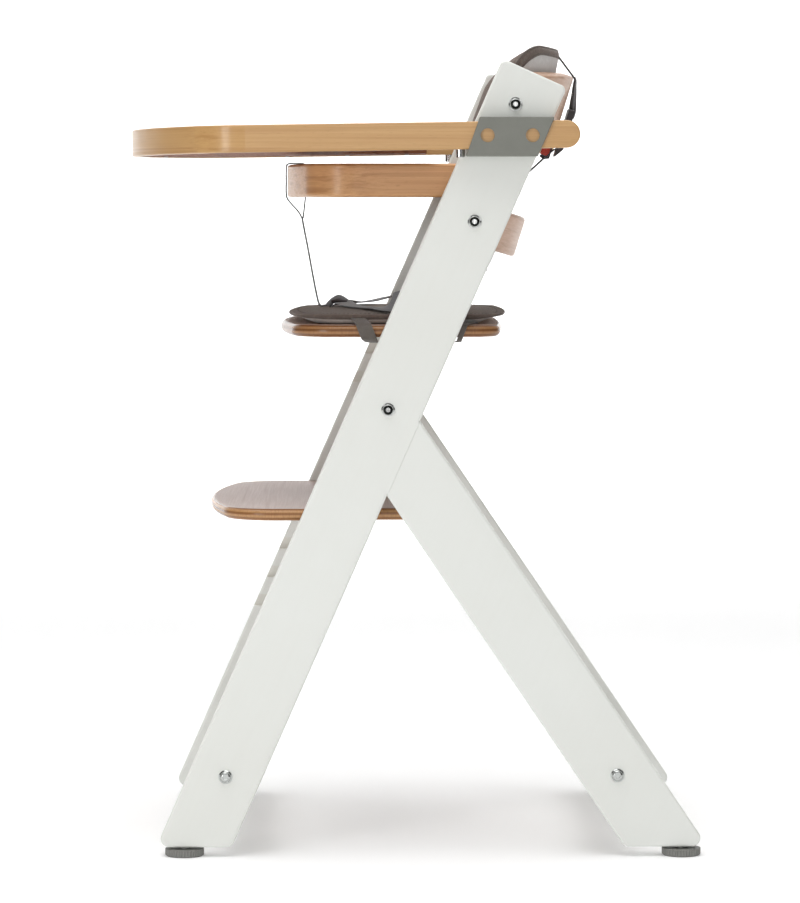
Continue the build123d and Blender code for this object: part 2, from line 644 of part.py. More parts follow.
# ---------------------------------------------------------------------------
# Levelling feet
# ---------------------------------------------------------------------------
with BuildPart() as front_left_foot:
    with BuildSketch(Plane.XY.offset(1.2)):
        with Locations((FOOT_X, yy(FOOT_FRONT_Y))):
            Circle(FOOT_R - 0.9)
            with PolarLocations(FOOT_R - 0.95, FOOT_RIBS):
                Circle(0.95)
    extrude(amount=FOOT_H - 1.2)
    with BuildSketch(Plane.XY):
        with Locations((FOOT_X, yy(FOOT_FRONT_Y))):
            Circle(FOOT_R - 1.6)
    extrude(amount=1.2)
    with BuildSketch(Plane.XY.offset(3.0)):
        with Locations((FOOT_X, yy(FOOT_FRONT_Y))):
            Circle(STUD_R + 0.05)
    extrude(amount=6, mode=Mode.SUBTRACT)

with BuildPart() as front_left_foot_stud:
    with BuildSketch(Plane.XY.offset(3.2)):
        with Locations((FOOT_X, yy(FOOT_FRONT_Y))):
            Circle(STUD_R)
    extrude(amount=20.8)
    chamfer(front_left_foot_stud.faces().sort_by(Axis.Z)[-1].edges(), length=0.8)

with BuildPart() as front_right_foot:
    mirror(front_left_foot.part, about=Plane.YZ)

with BuildPart() as front_right_foot_stud:
    mirror(front_left_foot_stud.part, about=Plane.YZ)

with BuildPart() as rear_left_foot:
    with Locations((0, FOOT_REAR_Y - FOOT_FRONT_Y, 0)):
        add(front_left_foot.part)

with BuildPart() as rear_left_foot_stud:
    with Locations((0, FOOT_REAR_Y - FOOT_FRONT_Y, 0)):
        add(front_left_foot_stud.part)

with BuildPart() as rear_right_foot:
    mirror(rear_left_foot.part, about=Plane.YZ)

with BuildPart() as rear_right_foot_stud:
    mirror(rear_left_foot_stud.part, about=Plane.YZ)

with BuildPart() as foot_inserts:
    for fy in (FOOT_FRONT_Y, FOOT_REAR_Y):
        with BuildSketch(Plane.XY.offset(LEG_BOTTOM)):
            with Locations((FOOT_X, yy(fy))):
                Circle(INSERT_R)
                Circle(STUD_R + 0.05, mode=Mode.SUBTRACT)
        extrude(amount=16)
    mirror(about=Plane.YZ)

# ---------------------------------------------------------------------------
# Soft pieces, as plain closed solids
# ---------------------------------------------------------------------------
SEAT_TOP = SEAT_Z + BOARD_T / 2
CUSHION_T = 11.6

with BuildPart() as seat_cushion:
    with BuildSketch(Plane.XY.offset(SEAT_TOP + 0.4)) as cushion_sketch:
        with BuildLine():
            ThreePointArc((188, yy(-127)), (0, yy(-140)), (-188, yy(-127)))
            Line((-188, yy(-127)), (-188, yy(74)))
            ThreePointArc((-188, yy(74)), (0, yy(82)), (188, yy(74)))
            Line((188, yy(74)), (188, yy(-127)))
        make_face()
        fillet(cushion_sketch.vertices(), radius=35)
    extrude(amount=CUSHION_T)
    fillet(seat_cushion.faces().filter_by(Axis.Z).edges(), radius=4.5)

CUSHION_TOP = SEAT_TOP + 0.4 + CUSHION_T

with BuildPart() as seat_cushion_strap:
    # elastic under the board, from the front of each upright to the rear edge
    with BuildSketch(Plane.XY.offset(SEAT_Z - BOARD_T / 2 - 2.2)):
        with BuildLine():
            Polyline((202, yy(-92)), (202, yy(-72)), (160, yy(68)), (138, yy(68)), close=True)
        make_face()
    extrude(amount=1.6)
    mirror(about=Plane.YZ)

PAD_REAR, PAD_FRONT, PAD_TOP = -11.0, -35.0, 70.0
PAD_HALF = 148.0
with BuildPart() as back_cushion:
    with BuildSketch(slope_plane(BACK_AT, -182.0, U3)):
        with BuildLine():
            bow_outline(172.0, PAD_REAR, PAD_FRONT)
        make_face()
    extrude(amount=192.0 + PAD_TOP)
    # arched top and rounded lower corners, cut square through the pad
    face_plane = Plane(origin=(0, yy(BACK_AT[0]), BACK_AT[1]), x_dir=(1, 0, 0), z_dir=N3)
    with BuildSketch(face_plane):
        with BuildLine():
            FilletPolyline(
                (PAD_HALF, -PAD_TOP), (PAD_HALF, 172), (-PAD_HALF, 172), (-PAD_HALF, -PAD_TOP),
                radius=[50, 36, 36, 50], close=True)
        make_face()
    extrude(amount=150, both=True, mode=Mode.INTERSECT)
    # sloping shoulders round the front
    pad_front = [f for f in back_cushion.faces() if f.normal_at(f.center()).dot(Vector(*N3)) < -0.5]
    front_edges = [e for f in pad_front for e in f.edges()]
    outer_edges = [
        e for e in front_edges if sum((e.center() - q.center()).length < 0.01 and abs(e.length - q.length) < 0.01 for q in front_edges) == 1]
    chamfer(outer_edges, length=10.0)

LOOP_T = 1.6
with BuildPart() as crotch_strap_loop:
    ya, yb = RAIL_FRONT - 0.6, RAIL_FRONT + RAIL_T + 0.6
    za, zb = RAIL_Z[0] - 0.6, RAIL_Z[1] + 0.6
    with BuildSketch(Plane.YZ.offset(-11)) as loop_sketch:
        with BuildLine():
            Polyline(*side_pts([
                (ya - LOOP_T, za), (ya - LOOP_T, zb), (ya + 1.0, zb + LOOP_T), (yb - 1.0, zb + LOOP_T),
                (yb + LOOP_T, zb), (yb + LOOP_T, za), (-129.4, 626.5), (-132.4, 626.5),
            ]), close=True)
        make_face()
        with BuildLine():
            Polyline(*side_pts([(ya, za), (ya, zb), (yb, zb), (yb, za), (-130.9, 632.5)]), close=True)
        make_face(mode=Mode.SUBTRACT)
    extrude(amount=22)

with BuildPart() as crotch_strap:
    with BuildSketch(Plane.YZ.offset(-11)):
        with BuildLine():
            Polyline(*side_pts([(-131.7, 625.8), (-130.1, 625.8), (-121.6, 565.0), (-116.6, 542.0), (-116.6, 537.8), (-118.2, 537.8), (-123.2, 565.0)]), close=True)
        make_face()
    extrude(amount=22)

with BuildPart() as lap_adjuster:
    with BuildSketch(Plane.XY.offset(CUSHION_TOP + 0.4)):
        with Locations((0, yy(-92))):
            RectangleRounded(44, 18, 6)
    extrude(amount=12)
    fillet(lap_adjuster.faces().sort_by(Axis.Z)[-1].edges(), radius=2.5)

with BuildPart() as lap_straps:
    with BuildSketch(Plane.XY.offset(CUSHION_TOP + 0.4)):
        with BuildLine():
            Polyline((23, yy(-101)), (23, yy(-83)), (186, yy(-30)), (186, yy(-48)), close=True)
        make_face()
    extrude(amount=2.0)
    mirror(about=Plane.YZ)


def slat_pt(n, s):
    return (yy(BACK_AT[0]) + N2[1] * n + U2[1] * s, BACK_AT[1] + N2[2] * n + U2[2] * s)


BUCKLE_N = (59.8, 66.4)       # body, square to the slats
BUCKLE_S = (-34.5, 16.5)      # body, along the slats
BUCKLE_HALF = 22.0
GUARD_N = (54.2, 55.8)         # frame around the button, under the slat
GUARD_HALF = 9.6
BTN_N = (45.6, 54.4)
BTN_S = (-36.5, -27.6)
BTN_HALF = 7.0
BTN_TRAVEL = 3.0

with BuildPart() as back_harness_strap:
    # from behind the cushion over the slat's rear edge, then doubled down to the buckle
    with BuildSketch(Plane.YZ.offset(-12.5)):
        with BuildLine():
            Polyline(*side_pts([
                (141.0, 786.2), (150.3, 773.6), (150.5, 772.0), (149.0, 765.6), (146.9, 752.0), (145.5, 742.8), (150.4, 741.4),
                (151.8, 752.0), (152.2, 765.0), (152.4, 772.2), (152.0, 774.2), (142.4, 787.2)]), close=True)
        make_face()
    extrude(amount=25)
    # from the buckle down to behind the cushion, in two narrow bands beside the button
    with BuildSketch(Plane.YZ.offset(12.5), Plane.YZ.offset(-21.0)):
        with BuildLine():
            Polyline(*[slat_pt(*q) for q in [
                (59.4, -26.8), (59.4, -29.2), (45.2, -52.8), (42.6, -53.8), (42.6, -51.8), (44.1, -51.2)]], close=True)
        make_face()
    extrude(amount=8.5)

buckle_side = Plane(origin=(0, yy(BACK_AT[0]), BACK_AT[1]), x_dir=N2, z_dir=(-1, 0, 0))


def buckle_profile(half, pts):
    # a prism across the chair from points along and square to the slats
    with BuildSketch(buckle_side.offset(-half)) as sk:
        with BuildLine():
            Polyline(*[(n, -q) for n, q in pts], close=True)
        make_face()
    return sk.sketch


with BuildPart() as harness_buckle:
    # flat body with a sloped lower corner
    extrude(buckle_profile(BUCKLE_HALF, [
        (BUCKLE_N[0], BUCKLE_S[1]), (BUCKLE_N[1], BUCKLE_S[1]), (BUCKLE_N[1], -25.5), (60.6, BUCKLE_S[0]),
        (BUCKLE_N[0], BUCKLE_S[0])]), amount=2 * BUCKLE_HALF)
    fillet(harness_buckle.edges().filter_by(lambda e: abs(e.tangent_at(0.5).dot(Vector(*N2))) > 0.99), radius=3.0)
    # bridge under the slat, frame round the button and the lip below it
    extrude(buckle_profile(GUARD_HALF, [
        (BUCKLE_N[0] + 1, -20.4), (GUARD_N[0], -20.4), (GUARD_N[0], -36.9), (46.2, -36.9), (46.0, -38.6), (50.5, -40.7),
        (GUARD_N[1], -38.2), (GUARD_N[1], -25.4), (BUCKLE_N[0] + 1, -25.4)]), amount=2 * GUARD_HALF)
    # window for the button
    extrude(buckle_profile(BTN_HALF + 0.4, [
        (GUARD_N[0] - 1, BTN_S[1] + 0.4), (GUARD_N[1] + 1, BTN_S[1] + 0.4), (GUARD_N[1] + 1, -36.9), (GUARD_N[0] - 1, -36.9)]),
        amount=2 * (BTN_HALF + 0.4), mode=Mode.SUBTRACT)

with BuildPart() as buckle_button:
    extrude(buckle_profile(BTN_HALF, [
        (BTN_N[0], BTN_S[1]), (BTN_N[1], BTN_S[1]), (BTN_N[1], BTN_S[0]), (BTN_N[0], BTN_S[0])]), amount=2 * BTN_HALF)
    fillet(buckle_button.faces().filter_by(lambda f: f.normal_at().dot(Vector(*N2)) < -0.999).edges(), radius=1.6)

# ---------------------------------------------------------------------------
# One file for each piece
# ---------------------------------------------------------------------------
pieces = {
    "left_upright": left_upright, "right_upright": right_upright,
    "left_rear_leg": left_rear_leg, "right_rear_leg": right_rear_leg,
    "leg_dowels": leg_dowels,
    "mid_cross_rail": mid_cross_rail, "front_stretcher": front_stretcher, "rear_stretcher": rear_stretcher,
    "upper_back_slat": upper_back_slat, "lower_back_slat": lower_back_slat,
    "frame_bolts": frame_bolts, "barrel_nuts": barrel_nuts,
    "bumper_rail": bumper_rail, "bumper_rail_screws": bumper_rail_screws,
    "left_tray_bracket": left_tray_bracket, "right_tray_bracket": right_tray_bracket,
    "bracket_screws": bracket_screws,
    "tray_rim": tray_rim, "tray_panel": tray_panel, "tray_panel_screws": tray_panel_screws,
    "tray_stop_pins": tray_stop_pins,
    "seat_board": seat_board, "footrest_board": footrest_board,
    "front_left_foot": front_left_foot, "front_right_foot": front_right_foot,
    "rear_left_foot": rear_left_foot, "rear_right_foot": rear_right_foot,
    "front_left_foot_stud": front_left_foot_stud, "front_right_foot_stud": front_right_foot_stud,
    "rear_left_foot_stud": rear_left_foot_stud, "rear_right_foot_stud": rear_right_foot_stud,
    "foot_inserts": foot_inserts,
    "seat_cushion": seat_cushion, "seat_cushion_strap": seat_cushion_strap, "back_cushion": back_cushion,
    "crotch_strap_loop": crotch_strap_loop, "crotch_strap": crotch_strap,
    "lap_adjuster": lap_adjuster, "lap_straps": lap_straps,
    "back_harness_strap": back_harness_strap, "harness_buckle": harness_buckle, "buckle_button": buckle_button,
}
for name, piece in pieces.items():
    piece.part.label = name
    export_step(piece.part, "parts/" + name + ".step")
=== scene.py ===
import bpy
import bmesh
import json
import math
import numpy as np
from mathutils import Vector, Matrix
from mathutils.bvhtree import BVHTree


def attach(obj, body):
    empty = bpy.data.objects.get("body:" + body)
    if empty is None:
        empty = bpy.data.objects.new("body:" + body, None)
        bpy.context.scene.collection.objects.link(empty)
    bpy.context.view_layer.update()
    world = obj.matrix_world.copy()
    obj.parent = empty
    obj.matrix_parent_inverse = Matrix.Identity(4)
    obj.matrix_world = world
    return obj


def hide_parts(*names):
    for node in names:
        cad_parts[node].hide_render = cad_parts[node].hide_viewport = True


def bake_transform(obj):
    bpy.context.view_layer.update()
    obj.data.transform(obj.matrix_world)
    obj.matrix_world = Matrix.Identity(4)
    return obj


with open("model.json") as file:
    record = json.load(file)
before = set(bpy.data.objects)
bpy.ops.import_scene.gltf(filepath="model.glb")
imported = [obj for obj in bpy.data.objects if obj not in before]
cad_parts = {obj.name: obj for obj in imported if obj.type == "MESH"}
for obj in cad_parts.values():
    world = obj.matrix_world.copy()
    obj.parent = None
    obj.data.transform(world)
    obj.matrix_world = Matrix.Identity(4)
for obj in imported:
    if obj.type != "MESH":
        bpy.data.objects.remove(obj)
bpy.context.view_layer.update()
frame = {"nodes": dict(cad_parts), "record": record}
nodes = frame["nodes"]
scene = bpy.context.scene

# ---------------------------------------------------------------------------
# Dimensions shared with the construction, in millimetres
# ---------------------------------------------------------------------------
Y_SHIFT = 20.3
TILT = math.atan((130.0 + 198.7) / (756.0 - 9.6))
SU, CU = math.sin(TILT), math.cos(TILT)
BOLT_TOP = (80.3, 741.7)
BOLT_LOW = (40.4, 626.9)
BOLT_MID = (-44.3, 442.3)
BACK_AT = (81.8, 743.7)
BOLT_FRONT = (-204.9, 79.8)
BOLT_REAR = (182.2, 80.8)
SLAT_TILT = math.radians(17.2)
PAD_TILT = math.radians(19.595)


def P(x, y, z):
    return Vector((x / 1000.0, (y + Y_SHIFT) / 1000.0, z / 1000.0))


def slope(tilt, origin):
    # points across the chair, square to a slope and along it, from a bolt
    c, d = math.cos(tilt), math.sin(tilt)

    def at(x, n, q):
        return P(x, origin[0] + n * c + q * d, origin[1] - n * d + q * c)
    return at


SLAT_AT = slope(SLAT_TILT, BACK_AT)
LOW_AT = slope(SLAT_TILT, BOLT_LOW)
PAD_AT = slope(PAD_TILT, BACK_AT)


def bow(x):
    # the bent slats' middle line
    x = abs(x)
    run, sag, r1 = 175.0, 49.0, 100.0
    th = 2 * math.atan(sag / run)
    big = run / math.sin(th) - r1
    if x > run:
        return 0.0
    if x > run - r1 * math.sin(th):
        return r1 - math.sqrt(r1 * r1 - (run - x) ** 2)
    return sag - big + math.sqrt(big * big - x * x)


# ---------------------------------------------------------------------------
# Node helpers for the procedural finishes
# ---------------------------------------------------------------------------
class Tree:
    def __init__(self, name):
        self.mat = bpy.data.materials.new(name)
        self.mat.use_nodes = True
        self.nt = self.mat.node_tree
        self.nt.nodes.clear()
        out = self.nt.nodes.new("ShaderNodeOutputMaterial")
        self.bsdf = self.nt.nodes.new("ShaderNodeBsdfPrincipled")
        self.nt.links.new(self.bsdf.outputs[0], out.inputs[0])
        self._obj = None

    def put(self, socket, value):
        if isinstance(value, bpy.types.NodeSocket):
            self.nt.links.new(value, socket)
        else:
            socket.default_value = value

    def node(self, kind, props=None, ins=None):
        n = self.nt.nodes.new(kind)
        for k, v in (props or {}).items():
            setattr(n, k, v)
        for k, v in (ins or {}).items():
            self.put(n.inputs[k], v)
        return n

    def set(self, **kw):
        names = {
            "color": "Base Color", "rough": "Roughness", "metal": "Metallic", "normal": "Normal", "spec": "Specular IOR Level",
            "coat": "Coat Weight", "coat_rough": "Coat Roughness", "sheen": "Sheen Weight", "sheen_rough": "Sheen Roughness",
            "sheen_tint": "Sheen Tint", "ior": "IOR", "sss": "Subsurface Weight",
        }
        for k, v in kw.items():
            if k in ("color", "sheen_tint") and not isinstance(v, bpy.types.NodeSocket) and len(v) == 3:
                v = (*v, 1.0)
            self.put(self.bsdf.inputs[names[k]], v)
        return self

    def obj(self):
        if self._obj is None:
            self._obj = self.node("ShaderNodeTexCoord").outputs["Object"]
        return self._obj

    def uv(self):
        return self.node("ShaderNodeTexCoord").outputs["UV"]

    def xyz(self, v):
        n = self.node("ShaderNodeSeparateXYZ", ins={0: v})
        return n.outputs[0], n.outputs[1], n.outputs[2]

    def vec(self, x, y, z):
        return self.node("ShaderNodeCombineXYZ", ins={0: x, 1: y, 2: z}).outputs[0]

    def m(self, op, a, b=None, c=None, clamp=False):
        n = self.node("ShaderNodeMath", {"operation": op, "use_clamp": clamp}, {0: a})
        if b is not None:
            self.put(n.inputs[1], b)
        if c is not None:
            self.put(n.inputs[2], c)
        return n.outputs[0]

    def noise(self, v, scale, detail=3.0, rough=0.5, dist=0.0):
        n = self.node("ShaderNodeTexNoise", {}, {"Vector": v, "Scale": scale, "Detail": detail, "Roughness": rough, "Distortion": dist})
        return n.outputs["Fac"]

    def ramp(self, f, stops, interp="LINEAR"):
        n = self.node("ShaderNodeValToRGB", {}, {0: f})
        cr = n.color_ramp
        cr.interpolation = interp
        while len(cr.elements) < len(stops):
            cr.elements.new(0.5)
        for e, (p, c) in zip(cr.elements, stops):
            e.position = p
            e.color = (*c, 1.0) if len(c) == 3 else c
        return n.outputs[0]

    def map(self, f, a, b, c, d, smooth=False):
        n = self.node("ShaderNodeMapRange", {"interpolation_type": "SMOOTHSTEP" if smooth else "LINEAR"}, {"Value": f})
        for k, v in (("From Min", a), ("From Max", b), ("To Min", c), ("To Max", d)):
            self.put(n.inputs[k], v)
        return n.outputs[0]

    def mix(self, f, a, b, blend="MIX"):
        n = self.node("ShaderNodeMix", {"data_type": "RGBA", "blend_type": blend})
        self.put(n.inputs[0], f)
        for i, v in ((6, a), (7, b)):
            if not isinstance(v, bpy.types.NodeSocket) and len(v) == 3:
                v = (*v, 1.0)
            self.put(n.inputs[i], v)
        return n.outputs[2]

    def bump(self, h, strength, dist, normal=None):
        n = self.node("ShaderNodeBump", {}, {"Height": h, "Strength": strength, "Distance": dist})
        if normal is not None:
            self.put(n.inputs["Normal"], normal)
        return n.outputs[0]

    def geo(self, name):
        return self.node("ShaderNodeNewGeometry").outputs[name]


def srgb(r, g, b):
    def f(c):
        c /= 255.0
        return c / 12.92 if c <= 0.04045 else ((c + 0.055) / 1.055) ** 2.4
    return (f(r), f(g), f(b))


def scaled(c, k):
    return tuple(min(1.0, v * k) for v in c)


def grain(t, along, across, up, light, mid, dark, lines=1.0, fleck=0.35):
    # straight-grained timber: slow bands, fine streaks and short flecks along the length
    slow = t.noise(t.vec(t.m("MULTIPLY", along, 0.9), t.m("MULTIPLY", across, 30.0), t.m("MULTIPLY", up, 30.0)), 1.0, 3.0, 0.55, 0.2)
    warp = t.m("MULTIPLY_ADD", slow, 0.010, up)
    ring = t.noise(t.vec(t.m("MULTIPLY", along, 2.2), t.m("MULTIPLY", across, 150.0), t.m("MULTIPLY", warp, 190.0)), 1.0, 2.0, 0.5)
    streak = t.noise(t.vec(t.m("MULTIPLY", along, 9.0), t.m("MULTIPLY", across, 620.0), t.m("MULTIPLY", up, 620.0)), 1.0, 4.0, 0.6)
    short = t.noise(t.vec(t.m("MULTIPLY", along, 130.0), t.m("MULTIPLY", across, 1300.0), t.m("MULTIPLY", up, 1300.0)), 1.0, 1.0, 0.5)
    base = t.mix(t.map(slow, 0.3, 0.7, 0.0, 1.0), light, mid)
    base = t.mix(t.map(ring, 0.52, 0.72, 0.0, 0.55 * lines, True), base, dark)
    base = t.mix(t.map(streak, 0.35, 0.75, 0.0, 0.38 * lines), base, dark)
    base = t.mix(t.map(short, 0.62, 0.80, 0.0, fleck), base, scaled(dark, 0.55))
    height = t.m("MULTIPLY_ADD", short, -0.5, t.m("MULTIPLY", streak, -0.5))
    return base, height, slow, streak


# ---------------------------------------------------------------------------
# Finishes
# ---------------------------------------------------------------------------
MATS = {}


def lacquer(name, grooves):
    t = Tree(name)
    p = t.obj()
    x, y, z = t.xyz(p)
    # along and square to the sloping members
    along = t.m("ADD", t.m("MULTIPLY", y, SU), t.m("MULTIPLY", z, CU))
    square = t.m("SUBTRACT", t.m("MULTIPLY", y, CU), t.m("MULTIPLY", z, SU))
    slow = t.noise(p, 5.0, 3.0, 0.6)
    fibre = t.noise(t.vec(t.m("MULTIPLY", along, 10.0), t.m("MULTIPLY", square, 240.0), t.m("MULTIPLY", x, 240.0)), 1.0, 3.0, 0.6)
    peel = t.noise(p, 420.0, 2.0, 0.5)
    col = t.mix(t.map(slow, 0.3, 0.7, 0.0, 1.0), (0.770, 0.785, 0.750), (0.745, 0.755, 0.715))
    col = t.mix(t.map(fibre, 0.45, 0.8, 0.0, 0.05), col, (0.62, 0.61, 0.55))
    if grooves:
        # thinner paint inside the board grooves
        ax = t.m("ABSOLUTE", x)
        inside = t.m("MULTIPLY", t.m("GREATER_THAN", ax, 0.2053), t.m("LESS_THAN", ax, 0.2131))
        zmm = t.m("MULTIPLY", z, 1000.0)
        bands = None
        for c in [519.0, 488.0, 457.0, 337.6, 306.6, 275.6, 244.6, 213.6]:
            b = t.m("LESS_THAN", t.m("ABSOLUTE", t.m("SUBTRACT", zmm, c)), 6.26)
            bands = b if bands is None else t.m("MAXIMUM", bands, b)
        raw = t.mix(t.map(fibre, 0.3, 0.7, 0.0, 1.0), (0.755, 0.75, 0.70), (0.725, 0.715, 0.66))
        col = t.mix(t.m("MULTIPLY", inside, bands), col, raw)
    t.set(color=col, rough=t.map(slow, 0.3, 0.7, 0.30, 0.40), spec=0.45)
    h = t.m("MULTIPLY_ADD", fibre, 0.6, t.m("MULTIPLY", peel, 0.4))
    t.set(normal=t.bump(h, 0.05, 0.0006))
    return t.mat


def u_coords(t, half, y_front, r_front, r_corner):
    # length, offset and height along a U-bent strip, with smooth corners
    x, y, z = t.xyz(t.obj())
    ax = t.m("ABSOLUTE", x)
    d_arm = t.m("SUBTRACT", ax, half)
    cy = y_front + r_front
    dy = t.m("SUBTRACT", y, cy)
    rad = t.m("SQRT", t.m("ADD", t.m("MULTIPLY", x, x), t.m("MULTIPLY", dy, dy)))
    front = t.m("LESS_THAN", y, cy)
    d_front = t.m("MULTIPLY_ADD", t.m("SUBTRACT", rad, r_front), front, t.m("MULTIPLY", t.m("SUBTRACT", 1.0, front), -1.0))
    off = t.m("SMOOTH_MAX", d_arm, d_front, r_corner)
    along = t.m("SUBTRACT", y, t.m("MULTIPLY", ax, 0.55))
    return along, off, z


def timber(name, coords, light, mid, dark, lines=1.0, fleck=0.35, rough=(0.30, 0.42), coat=0.25, bump=0.10, tint=None):
    t = Tree(name)
    along, across, up = coords(t)
    base, height, slow, streak = grain(t, along, across, up, light, mid, dark, lines, fleck)
    if tint is not None:
        base = tint(t, base)
    t.set(color=base, rough=t.map(streak, 0.3, 0.7, rough[0], rough[1]), coat=coat, coat_rough=0.14, spec=0.4 if coat else 0.25)
    t.set(normal=t.bump(height, bump, 0.0008))
    return t.mat


def across_x(t):
    x, y, z = t.xyz(t.obj())
    return x, y, z


def slat_coords(t):
    x, y, z = t.xyz(t.obj())
    d, c = math.sin(SLAT_TILT), math.cos(SLAT_TILT)
    up = t.m("ADD", t.m("MULTIPLY", y, d), t.m("MULTIPLY", z, c))
    sq = t.m("SUBTRACT", t.m("MULTIPLY", y, c), t.m("MULTIPLY", z, d))
    # follow the bow: subtract the sag for a constant offset through the thickness
    sag = t.m("MULTIPLY", t.m("MULTIPLY", x, x), 1.60)
    return x, t.m("ADD", sq, sag), up


def ply(name, layer, z0, zt, n_layers, face_light, face_mid, face_dark, edge_light, edge_dark, rough=(0.42, 0.52)):
    # veneered board: grain across the chair on its faces, plies on its edges
    t = Tree(name)
    x, y, z = t.xyz(t.obj())
    base, height, slow, streak = grain(t, x, y, z, face_light, face_mid, face_dark, 0.9, 0.25)
    k = t.m("MULTIPLY", t.m("SUBTRACT", z, z0), n_layers / zt)
    wob = t.m("MULTIPLY", t.noise(t.vec(t.m("MULTIPLY", x, 9.0), t.m("MULTIPLY", y, 9.0), t.m("MULTIPLY", z, 40.0)), 1.0, 2.0), 0.25)
    k = t.m("ADD", k, wob)
    odd = t.m("PINGPONG", k, 1.0)
    line = t.map(odd, 0.25, 0.75, 0.0, 1.0, True)
    end_fibre = t.noise(t.vec(t.m("MULTIPLY", x, 700.0), t.m("MULTIPLY", y, 700.0), t.m("MULTIPLY", z, 90.0)), 1.0, 3.0, 0.6)
    edge = t.mix(line, edge_light, edge_dark)
    edge = t.mix(t.map(end_fibre, 0.4, 0.75, 0.0, 0.35), edge, scaled(edge_dark, 0.6))
    nz = t.m("ABSOLUTE", t.xyz(t.geo("Normal"))[2])
    is_face = t.map(nz, 0.90, 0.985, 0.0, 1.0, True)
    col = t.mix(is_face, edge, base)
    face_rough = t.map(streak, 0.3, 0.7, rough[0], rough[1])
    t.set(color=col, rough=t.map(is_face, 0.0, 1.0, 0.24, face_rough), spec=t.map(is_face, 0.0, 1.0, 0.42, 0.25))
    t.set(normal=t.bump(t.m("ADD", height, t.m("MULTIPLY", line, 0.15)), 0.07, 0.0006))
    return t.mat


def metal(name, col, rough, scratch=0.05, bump=0.05):
    t = Tree(name)
    p = t.obj()
    n1 = t.noise(p, 260.0, 3.0, 0.6)
    n2 = t.noise(p, 1400.0, 2.0, 0.5)
    c = t.mix(t.map(n1, 0.35, 0.7, 0.0, 1.0), col, scaled(col, 0.82))
    t.set(color=c, metal=1.0, rough=t.map(n1, 0.3, 0.7, rough, rough + scratch), normal=t.bump(n2, bump, 0.0002))
    return t.mat


def plastic(name, col, rough, grain_scale=1500.0, bump=0.12, spec=0.4, var=0.12, coat=0.0):
    t = Tree(name)
    p = t.obj()
    slow = t.noise(p, 30.0, 3.0, 0.6)
    fine = t.noise(p, grain_scale, 2.0, 0.55)
    c = t.mix(t.map(slow, 0.3, 0.7, 0.0, 1.0), col, scaled(col, 1.0 - var))
    c = t.mix(t.map(fine, 0.55, 0.8, 0.0, 0.25), c, scaled(col, 1.35))
    t.set(color=c, rough=t.map(fine, 0.3, 0.7, rough - 0.05, rough + 0.07), spec=spec, coat=coat, normal=t.bump(fine, bump, 0.0003))
    return t.mat


def woven(name, col, pitch=0.0011, bump=0.55, sheen=0.35, tint=(0.8, 0.75, 0.7), dark=0.62, melange=0.35):
    # plain weave: threads crossing in every direction, with soft colour variation
    t = Tree(name)
    p = t.obj()
    wob = t.node("ShaderNodeTexNoise", {}, {"Vector": p, "Scale": 60.0, "Detail": 2.0}).outputs["Color"]
    q = t.node("ShaderNodeVectorMath", {"operation": "MULTIPLY_ADD"}, {0: wob, 1: (0.0012, 0.0012, 0.0012), 2: p}).outputs[0]
    x, y, z = t.xyz(q)
    k = 2 * math.pi / pitch
    sx, sy, sz = (t.m("SINE", t.m("MULTIPLY", v, k)) for v in (x, y, z))
    weave = t.m("ADD", t.m("MULTIPLY", sx, sy), t.m("ADD", t.m("MULTIPLY", sy, sz), t.m("MULTIPLY", sx, sz)))
    slow = t.noise(p, 14.0, 4.0, 0.6)
    fibre = t.noise(p, 900.0, 2.0, 0.6)
    thread = t.noise(p, 240.0, 2.0, 0.5)
    c = t.mix(t.map(slow, 0.3, 0.7, 0.0, 1.0), col, scaled(col, 0.86))
    c = t.mix(t.map(weave, -1.0, 1.2, 0.55, 0.0), c, scaled(col, dark))
    c = t.mix(t.map(thread, 0.5, 0.75, 0.0, melange), c, scaled(col, 1.45))
    c = t.mix(t.map(fibre, 0.55, 0.8, 0.0, 0.25), c, scaled(col, 1.5))
    t.set(color=c, rough=t.map(fibre, 0.3, 0.7, 0.82, 0.95), spec=0.2, sheen=sheen, sheen_rough=0.45, sheen_tint=tint)
    h = t.m("ADD", t.m("MULTIPLY", weave, 0.3), t.m("MULTIPLY", fibre, 0.35))
    t.set(normal=t.bump(h, bump, 0.0004))
    return t.mat


def webbing(name, col, rib=0.0016):
    # flat narrow webbing: ribs across the width, two selvedge lines, uv in metres
    t = Tree(name)
    u, v, _ = t.xyz(t.uv())
    k = 2 * math.pi / rib
    a = t.m("SINE", t.m("MULTIPLY", v, k))
    b = t.m("SINE", t.m("MULTIPLY", u, k * 0.8))
    rib_h = t.m("ADD", t.m("MULTIPLY", a, b), t.m("MULTIPLY", b, 0.5))
    fibre = t.noise(t.vec(t.m("MULTIPLY", u, 1600.0), t.m("MULTIPLY", v, 500.0), 0.0), 1.0, 2.0, 0.6)
    slow = t.noise(t.obj(), 40.0, 3.0, 0.6)
    c = t.mix(t.map(slow, 0.3, 0.7, 0.0, 1.0), col, scaled(col, 0.8))
    c = t.mix(t.map(rib_h, -1.2, 1.2, 0.5, 0.0), c, scaled(col, 0.5))
    c = t.mix(t.map(fibre, 0.5, 0.8, 0.0, 0.3), c, scaled(col, 1.7))
    t.set(color=c, rough=t.map(fibre, 0.3, 0.7, 0.7, 0.9), spec=0.25, sheen=0.25, sheen_rough=0.5)
    t.set(normal=t.bump(t.m("ADD", t.m("MULTIPLY", rib_h, 0.35), t.m("MULTIPLY", fibre, 0.3)), 0.6, 0.0004))
    return t.mat


